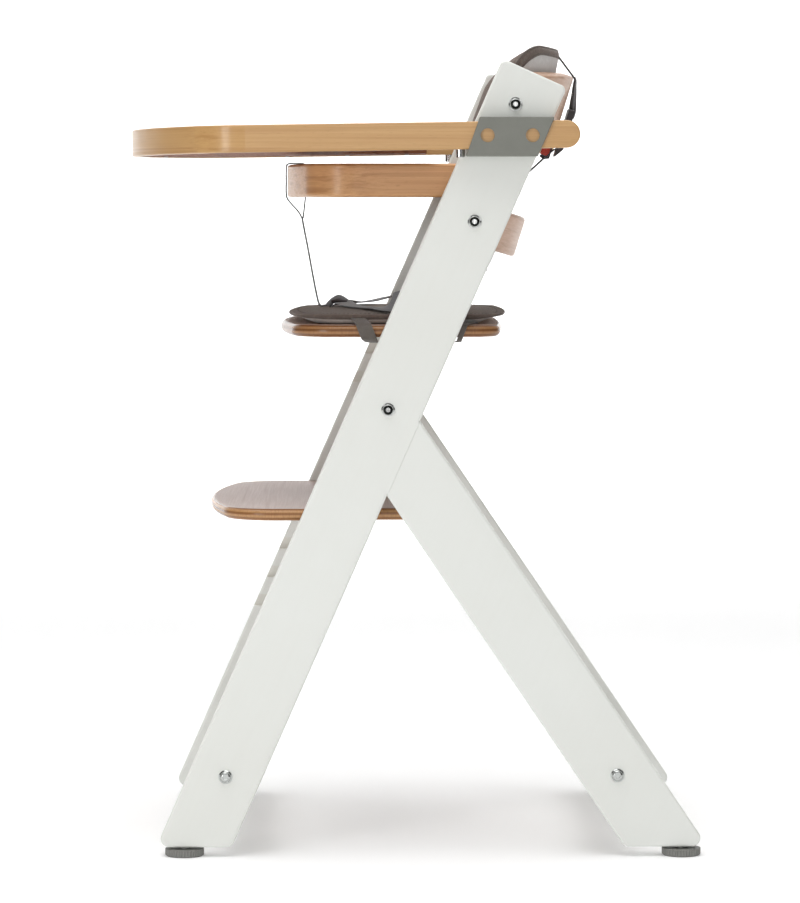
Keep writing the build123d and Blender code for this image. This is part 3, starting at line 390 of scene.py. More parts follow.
LACQUER = lacquer("white_lacquer", False)
LACQUER_GROOVED = lacquer("white_lacquer_grooved", True)
RIM = timber(
    "light_beech", lambda t: u_coords(t, 0.2409, -0.2858, 0.380, 0.050),
    srgb(202, 162, 110), srgb(190, 148, 94), srgb(160, 112, 62), 0.8, 0.22, (0.28, 0.40), 0.30)
RAIL = timber(
    "warm_beech", lambda t: u_coords(t, 0.1965, -0.1257, 0.330, 0.050),
    srgb(202, 156, 108), srgb(190, 140, 94), srgb(148, 98, 58), 0.9, 0.30, (0.30, 0.42), 0.12)
# tray panel: plywood grain, its colour darkened to a deep red-brown for the shade under the tray, painted shade
PANEL = timber(
    "red_ply", across_x, srgb(150, 98, 70), srgb(130, 82, 56), srgb(92, 52, 34), 0.9, 0.3, (0.60, 0.72), 0.0)
SLAT = timber(
    "pale_ply", slat_coords, srgb(206, 170, 145), srgb(194, 154, 126), srgb(158, 112, 84), 0.8, 0.25, (0.32, 0.46), 0.12)
DOWEL = timber(
    "raw_beech", across_x, srgb(220, 186, 140), srgb(206, 168, 120), srgb(170, 124, 80), 0.8, 0.3, (0.6, 0.75), 0.0)
# board faces: veneer grain, paled to a grey-pink for the white reflection of their gloss, painted reflection; the edges
# show the plies
SEAT_PLY = ply(
    "board_ply", 0, 0.513, 0.012, 5, srgb(196, 168, 152), srgb(186, 156, 140), srgb(156, 122, 104),
    srgb(162, 116, 74), srgb(118, 77, 44))
FOOT_PLY = ply(
    "board_ply_low", 0, 0.3316, 0.012, 5, srgb(190, 173, 166), srgb(182, 164, 156), srgb(162, 138, 128),
    srgb(188, 142, 96), srgb(142, 98, 60))
CHROME = metal("chrome", (0.80, 0.80, 0.80), 0.06, 0.05)


def bolt_metal():
    # bright heads; the dark ring round the middle of each upper head is a painted reflection, the pale core a painted
    # highlight, and the two low heads are darkened as painted shade
    t = Tree("bolt_chrome")
    p = t.obj()
    x, y, z = t.xyz(p)
    n1 = t.noise(p, 260.0, 3.0, 0.6)
    ring = painted_highlight_core = None
    for by, bz in (BOLT_TOP, BOLT_LOW, BOLT_MID):
        dy = t.m("SUBTRACT", y, (by + Y_SHIFT) / 1000.0)
        dz = t.m("SUBTRACT", z, bz / 1000.0)
        r = t.m("SQRT", t.m("ADD", t.m("MULTIPLY", dy, dy), t.m("MULTIPLY", dz, dz)))
        # painted reflection: a near-black ring round the middle of each upper head
        k = t.m("MULTIPLY", t.map(r, 0.0020, 0.0024, 0.0, 1.0, True), t.map(r, 0.0044, 0.0050, 1.0, 0.0, True))
        ring = k if ring is None else t.m("MAXIMUM", ring, k)
        # painted highlight: a pale core in each upper head, brightest at two spots either side of the middle
        e = t.m("MULTIPLY", t.map(r, 0.0004, 0.0007, 0.0, 1.0, True), t.map(r, 0.0019, 0.0023, 1.0, 0.0, True))
        e = t.m("MULTIPLY", e, t.map(t.m("ABSOLUTE", dy), 0.0002, 0.0007, 0.35, 1.0, True))
        painted_highlight_core = e if painted_highlight_core is None else t.m("MAXIMUM", painted_highlight_core, e)
    c = t.mix(t.map(n1, 0.35, 0.7, 0.0, 1.0), (0.62, 0.63, 0.62), (0.52, 0.53, 0.52))
    # painted reflection: the ring is coloured near black
    c = t.mix(ring, c, (0.012, 0.014, 0.013))
    # painted shade: the two low heads, near the floor, are coloured darker
    painted_shade_low = t.m("LESS_THAN", z, 0.2)
    c = t.mix(t.m("MULTIPLY", painted_shade_low, 0.45), c, (0.34, 0.36, 0.35))
    # painted highlight: the core is pale and less metallic
    c = t.mix(painted_highlight_core, c, (0.72, 0.72, 0.71))
    t.set(color=c, metal=t.m("SUBTRACT", 1.0, t.m("MULTIPLY", painted_highlight_core, 0.8)), rough=t.map(n1, 0.3, 0.7, 0.08, 0.14))
    return t.mat


BOLT = bolt_metal()
ZINC = metal("zinc_steel", (0.58, 0.58, 0.56), 0.30, 0.12, 0.12)
BRACKET = plastic("grey_plastic", (0.200, 0.203, 0.178), 0.50, 1400.0, 0.10)
FOOT = plastic("foot_plastic", (0.245, 0.245, 0.228), 0.55, 1100.0, 0.14)
DARK = plastic("dark_plastic", (0.030, 0.020, 0.020), 0.34, 1500.0, 0.08, 0.5)
RED = plastic("red_plastic", (0.82, 0.060, 0.026), 0.24, 1500.0, 0.03, 0.35, 0.15, 0.1)
TAUPE = woven("taupe_fabric", (0.170, 0.132, 0.113))
LINING = woven("lining_fabric", (0.74, 0.735, 0.725), 0.0009, 0.35, 0.2, (1, 1, 1), 0.8, 0.2)
PIPING = woven("piping_fabric", (0.135, 0.110, 0.096), 0.0008)
ELASTIC = webbing("taupe_elastic", (0.150, 0.130, 0.115), 0.0012)
WEB = webbing("grey_webbing", (0.260, 0.260, 0.268))
# painted shade: a near-black copy of the grey webbing, for the straps where they lie in shade
WEB_SHADED = webbing("webbing_painted_shade", (0.088, 0.084, 0.084))
THREAD = plastic("thread", (0.22, 0.21, 0.20), 0.8, 2500.0, 0.3, 0.1)

slot_mats = {
    "white_lacquer": LACQUER, "raw_beech": DOWEL, "pale_ply": SLAT, "warm_beech": RAIL, "light_beech": RIM, "red_ply": PANEL,
    "board_ply": SEAT_PLY, "chrome": CHROME, "zinc_steel": ZINC, "grey_plastic": BRACKET, "foot_plastic": FOOT,
    "dark_plastic": DARK, "red_plastic": RED, "taupe_fabric": TAUPE, "taupe_elastic": ELASTIC, "grey_webbing": WEB,
}
for sub in frame["record"]["subparts"]:
    o = nodes[sub["node"]]
    special = {
        "footrest_board": FOOT_PLY, "frame_bolts": BOLT, "left_upright": LACQUER_GROOVED, "right_upright": LACQUER_GROOVED}
    m = special.get(sub["node"]) or slot_mats[sub["material_slot"]]
    o.data.materials.clear()
    o.data.materials.append(m)

# ---------------------------------------------------------------------------
# Mesh helpers for the soft goods
# ---------------------------------------------------------------------------
def make_object(name, verts, faces, mats, mat_index=None, uvs=None):
    me = bpy.data.meshes.new(name)
    me.from_pydata([tuple(v) for v in verts], [], faces)
    me.update()
    for m in mats:
        me.materials.append(m)
    if mat_index is not None:
        me.polygons.foreach_set("material_index", mat_index)
    if uvs is not None:
        layer = me.uv_layers.new(name="UVMap")
        for poly in me.polygons:
            for li, vi in zip(poly.loop_indices, poly.vertices):
                layer.data[li].uv = uvs[vi]
    me.polygons.foreach_set("use_smooth", [True] * len(me.polygons))
    bm = bmesh.new()
    bm.from_mesh(me)
    bmesh.ops.recalc_face_normals(bm, faces=bm.faces)
    bm.to_mesh(me)
    bm.free()
    o = bpy.data.objects.new(name, me)
    scene.collection.objects.link(o)
    return o


def smooth_path(pts, steps):
    # a curve through the points, evenly divided between each two
    out = []
    n = len(pts)
    for i in range(n - 1):
        p0, p1, p2, p3 = pts[max(i - 1, 0)], pts[i], pts[i + 1], pts[min(i + 2, n - 1)]
        for k in range(steps):
            t = k / steps
            out.append(0.5 * (
                2 * p1 + (p2 - p0) * t + (2 * p0 - 5 * p1 + 4 * p2 - p3) * t * t + (3 * p1 - p0 - 3 * p2 + p3) * t ** 3))
    out.append(pts[-1].copy())
    return out


def ribbon(name, pts, across, width, thick, mat, steps=8, taper=None):
    # flat webbing with rounded edges along a curve, width and thickness in millimetres
    w, t = width / 2000.0, thick / 2000.0
    path = smooth_path(pts, steps)
    turn = smooth_path(across, steps)
    section = [
        (-w, -0.45 * t), (-w + 0.7 * t, -t), (-0.4 * w, -1.06 * t), (0.4 * w, -1.06 * t), (w - 0.7 * t, -t), (w, -0.45 * t),
        (w, 0.45 * t), (w - 0.7 * t, t), (0.4 * w, 1.06 * t), (-0.4 * w, 1.06 * t), (-w + 0.7 * t, t), (-w, 0.45 * t)]
    m = len(section)
    verts, uvs, faces = [], [], []
    run = 0.0
    for i, p in enumerate(path):
        tan = (path[min(i + 1, len(path) - 1)] - path[max(i - 1, 0)]).normalized()
        a = turn[i] - tan * turn[i].dot(tan)
        a.normalize()
        up = tan.cross(a).normalized()
        if i:
            run += (p - path[i - 1]).length
        g = 1.0
        if taper is not None:
            k = min(i // steps, len(taper) - 2)
            g = taper[k] + (taper[k + 1] - taper[k]) * (i / steps - k)
        for u, v in section:
            verts.append(p + a * (u * g) + up * v)
            uvs.append((u + w, run))
    n = len(path)
    for i in range(n - 1):
        for k in range(m):
            faces.append((i * m + k, i * m + (k + 1) % m, (i + 1) * m + (k + 1) % m, (i + 1) * m + k))
    faces.append(tuple(range(m)))
    faces.append(tuple((n - 1) * m + k for k in reversed(range(m))))
    return make_object(name, verts, faces, [mat], None, uvs)


def tube(name, pts, radius, mat, closed=True, sides=8):
    # round cord along points, radius in metres
    n = len(pts)
    verts, faces = [], []
    up = None
    for i, p in enumerate(pts):
        a = pts[(i - 1) % n] if closed else pts[max(i - 1, 0)]
        b = pts[(i + 1) % n] if closed else pts[min(i + 1, n - 1)]
        tan = (b - a).normalized()
        if up is None:
            up = tan.orthogonal().normalized()
        up = (up - tan * up.dot(tan)).normalized()
        side = tan.cross(up)
        for k in range(sides):
            q = 2 * math.pi * k / sides
            verts.append(p + (up * math.cos(q) + side * math.sin(q)) * radius)
    rounds = n if closed else n - 1
    shift = 0
    if closed:
        # join the last ring to the first where their corners lie nearest
        first, last = verts[:sides], verts[-sides:]
        shift = min(range(sides), key=lambda d: sum((first[(k + d) % sides] - last[k]).length for k in range(sides)))
    for i in range(rounds):
        j = (i + 1) % n
        d = shift if (closed and j == 0) else 0
        for k in range(sides):
            faces.append((i * sides + k, i * sides + (k + 1) % sides, j * sides + (k + 1 + d) % sides, j * sides + (k + d) % sides))
    if not closed:
        faces.append(tuple(range(sides)))
        faces.append(tuple((n - 1) * sides + k for k in reversed(range(sides))))
    return make_object(name, verts, faces, [mat])


def stitches(name, pts, normals, mat, pitch=0.0042, length=0.0027, radius=0.00038, closed=True):
    # a row of short threads along a seam
    verts, faces = [], []
    n = len(pts)
    count = n if closed else n - 1
    seg = [(pts[(i + 1) % n] - pts[i]).length for i in range(count)]
    total = sum(seg)
    k = max(1, int(total / pitch))
    for q in range(k):
        d = (q + 0.5) * total / k
        i = 0
        while d > seg[i] and i < count - 1:
            d -= seg[i]
            i += 1
        a, b = pts[i], pts[(i + 1) % n]
        f = d / max(seg[i], 1e-9)
        c = a.lerp(b, f)
        nrm = normals[i].lerp(normals[(i + 1) % n], f).normalized()
        tan = (b - a).normalized()
        side = nrm.cross(tan).normalized()
        base = len(verts)
        rings = ((-0.5, 0.35, -0.6), (-0.32, 1.0, 0.25), (0.32, 1.0, 0.25), (0.5, 0.35, -0.6))
        for along, grow, lift in rings:
            for s in range(6):
                w = 2 * math.pi * s / 6
                verts.append(c + tan * (along * length) + nrm * (radius * (lift + grow * math.sin(w))) + side * (radius * 1.3 * grow * math.cos(w)))
        for r in range(3):
            for s in range(6):
                faces.append((base + r * 6 + s, base + r * 6 + (s + 1) % 6, base + (r + 1) * 6 + (s + 1) % 6, base + (r + 1) * 6 + s))
        faces.append(tuple(base + s for s in range(6)))
        faces.append(tuple(base + 18 + s for s in reversed(range(6))))
    return make_object(name, verts, faces, [mat])


def crowd(n, tight):
    # numbers from -1 to 1 that crowd towards both ends
    u = np.linspace(-1.0, 1.0, n)
    return np.sin(u * tight * math.pi / 2) / math.sin(tight * math.pi / 2)


def edge_order(nu, nv):
    return [(i, 0) for i in range(nu)] + [(nu - 1, j) for j in range(1, nv)] + \
        [(i, nv - 1) for i in range(nu - 2, -1, -1)] + [(0, j) for j in range(nv - 2, 0, -1)]


def outward(loop):
    # outward unit normals of a closed plane outline
    nxt, prv = np.roll(loop, -1, 0), np.roll(loop, 1, 0)
    t = nxt - prv
    t /= np.maximum(np.linalg.norm(t, axis=1, keepdims=True), 1e-9)
    nrm = np.stack([t[:, 1], -t[:, 0]], 1)
    area2 = np.sum(loop[:, 0] * nxt[:, 1] - nxt[:, 0] * loop[:, 1])
    return nrm if area2 > 0 else -nrm


def sewn_pad(name, top, bottom, loops, place, mats, split):
    # a closed cover from two sheets on one grid and the loops that join them round the edge; split is the first loop of the lining
    nu, nv = top.shape[:2]
    order = edge_order(nu, nv)
    nb = len(order)
    pts = [tuple(v) for v in top.reshape(-1, 3)]
    off_loops = len(pts)
    for lp in loops:
        pts += [tuple(v) for v in lp]
    off_bot = len(pts)
    pts += [tuple(v) for v in bottom.reshape(-1, 3)]
    rings = [[i * nv + j for i, j in order]]
    rings += [[off_loops + k * nb + q for q in range(nb)] for k in range(len(loops))]
    rings += [[off_bot + i * nv + j for i, j in order]]
    faces, mi = [], []
    for i in range(nu - 1):
        for j in range(nv - 1):
            a = i * nv + j
            faces.append((a, a + nv, a + nv + 1, a + 1))
            mi.append(0)
            b = off_bot + a
            faces.append((b, b + 1, b + nv + 1, b + nv))
            mi.append(1)
    for k in range(len(rings) - 1):
        for q in range(nb):
            r = (q + 1) % nb
            faces.append((rings[k][q], rings[k + 1][q], rings[k + 1][r], rings[k][r]))
            mi.append(0 if k < split else 1)
    o = make_object(name, [place(*v) for v in pts], faces, mats, mi)
    return o, rings


def coords_of(me):
    co = np.empty(len(me.vertices) * 3)
    me.vertices.foreach_get("co", co)
    return co.reshape(-1, 3)


def inflate(o, pressure, cap, frames=18, limit=None, held=None):
    # fill the sewn cover: cloth under pressure, no gravity, then hold each point within the cap
    rest = coords_of(o.data)
    co = rest.copy()
    mod = o.modifiers.new("cloth", "CLOTH")
    st = mod.settings
    st.quality = 6
    st.mass = 0.25
    st.tension_stiffness = 18.0
    st.compression_stiffness = 18.0
    st.shear_stiffness = 8.0
    st.bending_stiffness = 0.6
    st.use_pressure = True
    st.uniform_pressure_force = pressure
    st.effector_weights.gravity = 0.0
    if held is not None:
        group = o.vertex_groups.new(name="sewn_edge")
        group.add([int(k) for k in held], 1.0, "REPLACE")
        st.vertex_group_mass = group.name
    mod.collision_settings.use_collision = False
    mod.point_cache.frame_start = 1
    mod.point_cache.frame_end = frames
    for f in range(1, frames + 1):
        scene.frame_set(f)
    dg = bpy.context.evaluated_depsgraph_get()
    co = coords_of(o.evaluated_get(dg).to_mesh())
    o.evaluated_get(dg).to_mesh_clear()
    o.modifiers.remove(mod)
    scene.frame_set(1)
    d = co - rest
    length = np.linalg.norm(d, axis=1, keepdims=True)
    co = rest + d * (cap * np.tanh(length / cap) / np.maximum(length, 1e-9))
    if limit is not None:
        co = limit(co)
    o.data.vertices.foreach_set("co", co.ravel())
    o.data.update()
    return co


def subdivide(o, limit=None):
    mod = o.modifiers.new("smooth", "SUBSURF")
    mod.levels = 1
    dg = bpy.context.evaluated_depsgraph_get()
    me = bpy.data.meshes.new_from_object(o.evaluated_get(dg))
    o.modifiers.remove(mod)
    old = o.data
    o.data = me
    bpy.data.meshes.remove(old)
    if limit is not None:
        me.vertices.foreach_set("co", limit(coords_of(me)).ravel())
        me.update()


def on_surface(o, pts):
    tree = BVHTree.FromPolygons([v.co.copy() for v in o.data.vertices], [tuple(p.vertices) for p in o.data.polygons])
    out, nrm = [], []
    for p in pts:
        loc, n, _, _ = tree.find_nearest(p)
        out.append(loc)
        nrm.append(n)
    return out, nrm


def resample(pts, step):
    # evenly spaced points round a closed loop
    n = len(pts)
    seg = [(pts[(i + 1) % n] - pts[i]).length for i in range(n)]
    total = sum(seg)
    k = int(total / step)
    out = []
    i, acc = 0, 0.0
    for q in range(k):
        d = q * total / k
        while acc + seg[i] < d and i < n - 1:
            acc += seg[i]
            i += 1
        out.append(pts[i].lerp(pts[(i + 1) % n], (d - acc) / max(seg[i], 1e-9)))
    # even out small kinks
    for _ in range(2):
        out = [(out[q - 1] + out[q] * 2 + out[(q + 1) % k]) / 4 for q in range(k)]
    return out


# ---------------------------------------------------------------------------
# Seat cushion: a thin boxed pad, taupe above and pale lining below
# ---------------------------------------------------------------------------
def lerp(a, b, t):
    return a + (b - a) * t


SEAT_FLOOR = 0.5254
XS = 188.0


def corner(a, half, r):
    a = np.abs(a)
    return np.where(a > half - r, r - np.sqrt(np.maximum(r * r - (a - half + r) ** 2, 0.0)), 0.0)


def seat_cushion():
    nu, nv = 61, 43
    xs = XS * crowd(nu, 0.92)
    v = 0.5 + 0.5 * crowd(nv, 0.88)
    lo = -144.4 + 13.0 * (xs / XS) ** 2 + corner(xs, XS, 34.0)
    hi = 76.8 - 8.0 * (xs / XS) ** 2 - corner(xs, XS, 30.0)
    gx = np.repeat(xs[:, None], nv, 1)
    gy = lo[:, None] + (hi - lo)[:, None] * v[None, :]
    un, vn = np.abs(gx) / XS, np.abs(2 * v - 1)[None, :] + 0 * gx
    crown = (1 - un ** 4) * (1 - vn ** 4)
    order = edge_order(nu, nv)
    loop = np.array([(gx[i, j], gy[i, j]) for i, j in order])
    nrm = outward(loop)
    e = np.clip(np.abs(nrm[:, 1]) ** 1.5, 0, 1)
    back = 0.5 + 0.5 * np.sign(loop[:, 1] + 29.0)
    tip = np.where(back > 0.5, 535.2, 533.4)
    top = np.stack([gx * (1 - 3.0 / XS), -29.0 + (gy + 29.0) * (1 - 3.0 / 111.0), 535.0 + 1.6 * crown], -1)

    def ring(inset, z):
        return np.concatenate([loop - nrm * np.asarray(inset).reshape(-1, 1), np.asarray(z).reshape(-1, 1)], 1)
    one = np.ones(len(loop))
    loops = [
        ring(0.6 * one, lerp(534.4, tip + 0.6, e)), ring(-0.4 * one, lerp(532.8, tip + 0.1, e)),
        ring(0.6 * one, lerp(530.9, tip - 0.6, e)),
        ring(lerp(2.6, lerp(9.0, 13.0, back), e), lerp(528.2, tip - 3.6, e)),
    ]
    front_in, rear_in = 21.0, 40.0
    by = lo[:, None] + front_in + (hi - lo - front_in - rear_in)[:, None] * v[None, :]
    side = np.clip((np.abs(xs) - 150.0) / 38.0, 0, 1)[:, None]
    by = lerp(by, lo[:, None] + 10 + (hi - lo - 20)[:, None] * v[None, :], side)
    bottom = np.stack([gx * (1 - 7.0 / XS), by, np.full_like(gx, 525.9)], -1)
    o, rings = sewn_pad("seat_cushion_pad", top, bottom, loops, P, [TAUPE, LINING], 3)

    def limit(co):
        co = co.copy()
        co[:, 2] = np.clip(co[:, 2], SEAT_FLOOR, 0.5378)
        return co
    co = inflate(o, 3.0, 0.0028, 18, limit, [k for r in rings for k in r])
    seam = [Vector(co[k]) for k in rings[3]]
    upper = [Vector(co[k]) for k in rings[0]]
    subdivide(o, limit)
    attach(o, "seat")
    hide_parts("seat_cushion")
    pipe = tube("seat_cushion_piping", resample(seam, 0.004), 0.00105, PIPING)
    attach(pipe, "seat")
    mid = Vector((0, (-29 + Y_SHIFT) / 1000, 0.535))
    inner = [p + Vector(((mid.x - p.x) * 0.03, (mid.y - p.y) * 0.05, 0)) for p in resample(upper, 0.005)]
    pts, nr = on_surface(o, inner)
    st = stitches("seat_cushion_stitching", pts, nr, THREAD)
    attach(st, "seat")
    return o


seat_pad = seat_cushion()

# ---------------------------------------------------------------------------
# Back cushion: bowed with the slats, a turned-over band round a pale lining behind
# ---------------------------------------------------------------------------
XB = 147.5


def back_cushion():
    nu, nv = 57, 57
    xs = XB * crowd(nu, 0.92)
    v = 0.5 + 0.5 * crowd(nv, 0.90)
    hi = 70.4 - 5.3 * (xs / 100.0) ** 2 - corner(xs, XB, 48.0)
    lo = -172.0 + corner(xs, XB, 34.0)
    gx = np.repeat(xs[:, None], nv, 1)
    gy = lo[:, None] + (hi - lo)[:, None] * v[None, :]
    un, vn = np.abs(gx) / XB, np.abs(2 * v - 1)[None, :] + 0 * gx
    order = edge_order(nu, nv)
    loop = np.array([(gx[i, j], gy[i, j]) for i, j in order])
    nrm = outward(loop)
    cy = -52.0
    # how far each point lies in from the edge
    flat = np.stack([gx.ravel(), gy.ravel()], 1)
    inward = np.sqrt(((flat[:, None, :] - loop[None, :, :]) ** 2).sum(2)).min(1).reshape(gx.shape)
    # full at the sides, softer shoulders at the top, and further from the slat in the middle
    soft = np.clip((gy - 15.0) / 40.0, 0, 1)
    dip = 3.2 * (1 - un ** 2) * np.clip((gy - 20.0) / 40.0, 0, 1)
    top = np.stack([gx, gy, -17.6 - dip - 20.0 * (1 - np.exp(-inward / (6.0 + 6.0 * soft)))], -1)

    def ring(inset, off):
        k = 3.2 * (1 - (loop[:, :1] / XB) ** 2) * np.clip((loop[:, 1:] - 20.0) / 40.0, 0, 1)
        return np.concatenate([loop - nrm * inset, off - k], 1)
    loops = [ring(0.2, -16.2), ring(1.6, -14.9), ring(4.0, -14.3)]
    bot_s = cy + (gy - cy) * (1 - 6.2 / 121.0)
    bottom = np.stack([gx * (1 - 6.2 / XB), bot_s, -14.0 - dip + 3.0 * (1 - un ** 8) * (1 - vn ** 8)], -1)

    def place(x, q, off):
        return PAD_AT(x, bow(x) + off, q)
    o, rings = sewn_pad("back_cushion_pad", top, bottom, loops, place, [TAUPE, LINING], 4)
    c, d = math.cos(PAD_TILT), math.sin(PAD_TILT)

    def limit(co):
        # stay in front of the slats
        co = co.copy()
        y = co[:, 1] * 1000.0 - Y_SHIFT - BACK_AT[0]
        z = co[:, 2] * 1000.0 - BACK_AT[1]
        n, q = y * c - z * d, y * d + z * c
        b = np.array([bow(x) for x in co[:, 0] * 1000.0])
        top_n = np.where(q > 0, -8.6 - 0.0417 * np.minimum(q, 52.0), -9.4)
        n2 = np.minimum(n, b + top_n)
        n2 = np.maximum(n2, b - 41.5)
        y2, z2 = n2 * c + q * d, -n2 * d + q * c
        co[:, 1] = (y2 + BACK_AT[0] + Y_SHIFT) / 1000.0
        co[:, 2] = (z2 + BACK_AT[1]) / 1000.0
        return co
    co = inflate(o, 3.5, 0.0035, 18, limit, [k for r in rings for k in r])
    front = [Vector(co[k]) for k in rings[0]]
    seam = [Vector(co[k]) for k in rings[4]]
    subdivide(o, limit)
    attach(o, "frame")
    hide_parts("back_cushion")
    for nm, line, r in (("back_cushion_piping", front, 0.0013), ("back_lining_piping", seam, 0.0009)):
        pts, nr = on_surface(o, resample(line, 0.004))
        k = tube(nm, [p + n * (0.15 * r) for p, n in zip(pts, nr)], r, PIPING)
        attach(k, "frame")
    mid = PAD_AT(0, bow(0) - 32, cy)
    inner = []
    for p in resample(front, 0.005):
        w = mid - p
        inner.append(p + w.normalized() * 0.0055)
    pts, nr = on_surface(o, inner)
    st = stitches("back_cushion_stitching", pts, nr, THREAD)
    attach(st, "frame")
    return o


back_pad = back_cushion()

# ---------------------------------------------------------------------------
# Elastic that holds the seat cushion: round the board in front of and behind each upright
# ---------------------------------------------------------------------------
for side, tag in ((1, "left"), (-1, "right")):
    path = [
        (183, -75, 531.4), (199, -71.6, 529.4), (209, -69.2, 526.8), (213.6, -67.5, 523.5), (214.0, -65.5, 518.5), (213.2, -63.6, 513.6),
        (209.5, -62.0, 510.6), (203.0, -60.2, 508.6), (198.0, -54.0, 507.6), (196.0, -40.0, 507.6), (195.5, -15.0, 508.4),
        (196.5, 8.0, 508.0), (200.6, 20.0, 508.0), (207.0, 25.4, 508.8), (211.8, 26.4, 511.0), (213.9, 28.0, 516.0),
        (213.9, 30.2, 521.5), (211.0, 31.8, 525.2), (200, 34.0, 526.3), (178, 38, 526.3)]
    gather = [1.0] * 12 + [0.6] + [0.36] * 5 + [0.6, 1.0]
    fold = [(0.15, 1, 0)] * 3 + [(0.05, 1, 0.12)] * 3 + [(0.1, 1, 0), (0.35, 1, 0), (0.8, 0.6, 0), (1, 0.1, 0), (1, 0, 0), (1, -0.1, 0),
             (0.75, -0.7, 0), (0.35, -1, 0), (0.1, -1, 0), (0, -1, 0.1), (0, -1, 0), (0.1, -1, 0), (0.15, -1, 0), (0.15, -1, 0)]
    pts = [P(side * x, y, z) for x, y, z in path]
    acr = [Vector((side * x, y, z)).normalized() for x, y, z in fold]
    strap = ribbon("seat_elastic_" + tag, pts, acr, 14.5, 1.1, ELASTIC, 7, gather)
    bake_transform(strap)
    if side == 1:
        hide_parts("seat_cushion_strap")

# ---------------------------------------------------------------------------
# Harness on the seat
# ---------------------------------------------------------------------------
X_ACROSS = Vector((1, 0, 0))


def flat_path(pts):
    return [P(0, y, z) for y, z in pts]


# loop of webbing round the bumper rail
loop_pts = [
    (-131.3, 629.5), (-135.0, 636.0), (-143.0, 645.0), (-147.2, 652.0), (-147.6, 668.0), (-147.3, 682.0), (-145.2, 685.3),
    (-137.5, 685.6), (-129.6, 685.3), (-127.6, 682.0), (-127.4, 668.0), (-127.8, 652.0), (-128.6, 643.0), (-129.6, 635.0), (-130.2, 629.5)]
# the loop round the rail uses the shaded copy of the webbing: painted shade
o = ribbon("crotch_loop", flat_path(loop_pts), [X_ACROSS.copy() for _ in loop_pts], 22, 1.2, WEB_SHADED, 6)
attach(o, "frame")
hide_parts("crotch_strap_loop")
# two plies from the loop down to the seat
for k, (dy, nm) in enumerate(((-0.42, "crotch_web"), (0.42, "crotch_web_rear"))):
    run = [
        (-131.0 + dy, 631.0), (-130.4 + dy, 625.0), (-125.2 + dy, 598.0), (-119.8 + dy, 568.0), (-116.0 + dy, 549.0),
        (-114.0 + dy, 541.5), (-111.8 + 2 * dy, 538.9 - 0.4 * k), (-108.5, 538.6 + 0.9 * (1 - k)), (-103.0, 539.6 + 0.9 * (1 - k))]
    o = ribbon(nm, flat_path(run), [X_ACROSS.copy() for _ in run], 22, 0.8, WEB, 8)
    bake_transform(o)
    if k == 0:
        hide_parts("crotch_strap")

# slide on the cushion, with the webbing folded through it
fold_a = [(-104.6, 538.9), (-102.4, 541.4), (-99.0, 544.6), (-94.6, 546.4), (-90.2, 546.0), (-86.2, 543.6), (-83.8, 541.4)]
fold_b = [
    (-100.0, 538.6), (-97.4, 540.0), (-94.0, 540.2), (-90.0, 539.6), (-85.6, 539.4), (-81.6, 538.8), (-77.0, 538.5)]
fold_c = [(-103.0, 541.6), (-99.6, 546.6), (-94.8, 549.3), (-89.4, 548.4), (-85.2, 545.0)]
# the tail under the fold uses the shaded copy of the webbing: painted shade
for nm, pts, w, k, m in (
        ("harness_fold", fold_a, 25, 5.6, WEB), ("harness_tail", fold_b, 22, 1.2, WEB_SHADED), ("harness_upper_fold", fold_c, 22, 1.2, WEB)):
    o = ribbon(nm, flat_path(pts), [X_ACROSS.copy() for _ in pts], w, k, m, 6)
    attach(o, "seat")


def slide():
    # three-bar slide: rounded frame with a middle bar
    bm = bmesh.new()

    def bar(p, q, r):
        path = [p.lerp(q, k / 6) for k in range(7)]
        d = (q - p).normalized()
        a = d.orthogonal().normalized()
        b = d.cross(a)
        rings = []
        for k, c in enumerate(path):
            g = 0.72 if k in (0, 6) else 1.0
            rings.append([bm.verts.new(c + (a * math.cos(w * math.pi / 5) + b * math.sin(w * math.pi / 5)) * r * g) for w in range(10)])
        for k in range(6):
            for w in range(10):
                bm.faces.new((rings[k][w], rings[k][(w + 1) % 10], rings[k + 1][(w + 1) % 10], rings[k + 1][w]))
        bm.faces.new(rings[0][::-1])
        bm.faces.new(rings[6])
    h = 13.6
    for y, z in ((-100.0, 543.6), (-93.2, 544.6), (-86.0, 543.4)):
        bar(P(-h, y, z), P(h, y, z), 0.00135)
    for sx in (-1, 1):
        bar(P(sx * h, -101.0, 543.5), P(sx * h, -92.0, 544.7), 0.0018)
        bar(P(sx * h, -94.4, 544.6), P(sx * h, -85.0, 543.2), 0.0018)
    bmesh.ops.recalc_face_normals(bm, faces=bm.faces)
    me = bpy.data.meshes.new("harness_slide")
    bm.to_mesh(me)
    bm.free()
    me.materials.append(DARK)
    me.polygons.foreach_set("use_smooth", [True] * len(me.polygons))
    ob = bpy.data.objects.new("harness_slide", me)
    scene.collection.objects.link(ob)
    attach(ob, "seat")
    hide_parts("lap_adjuster")


slide()

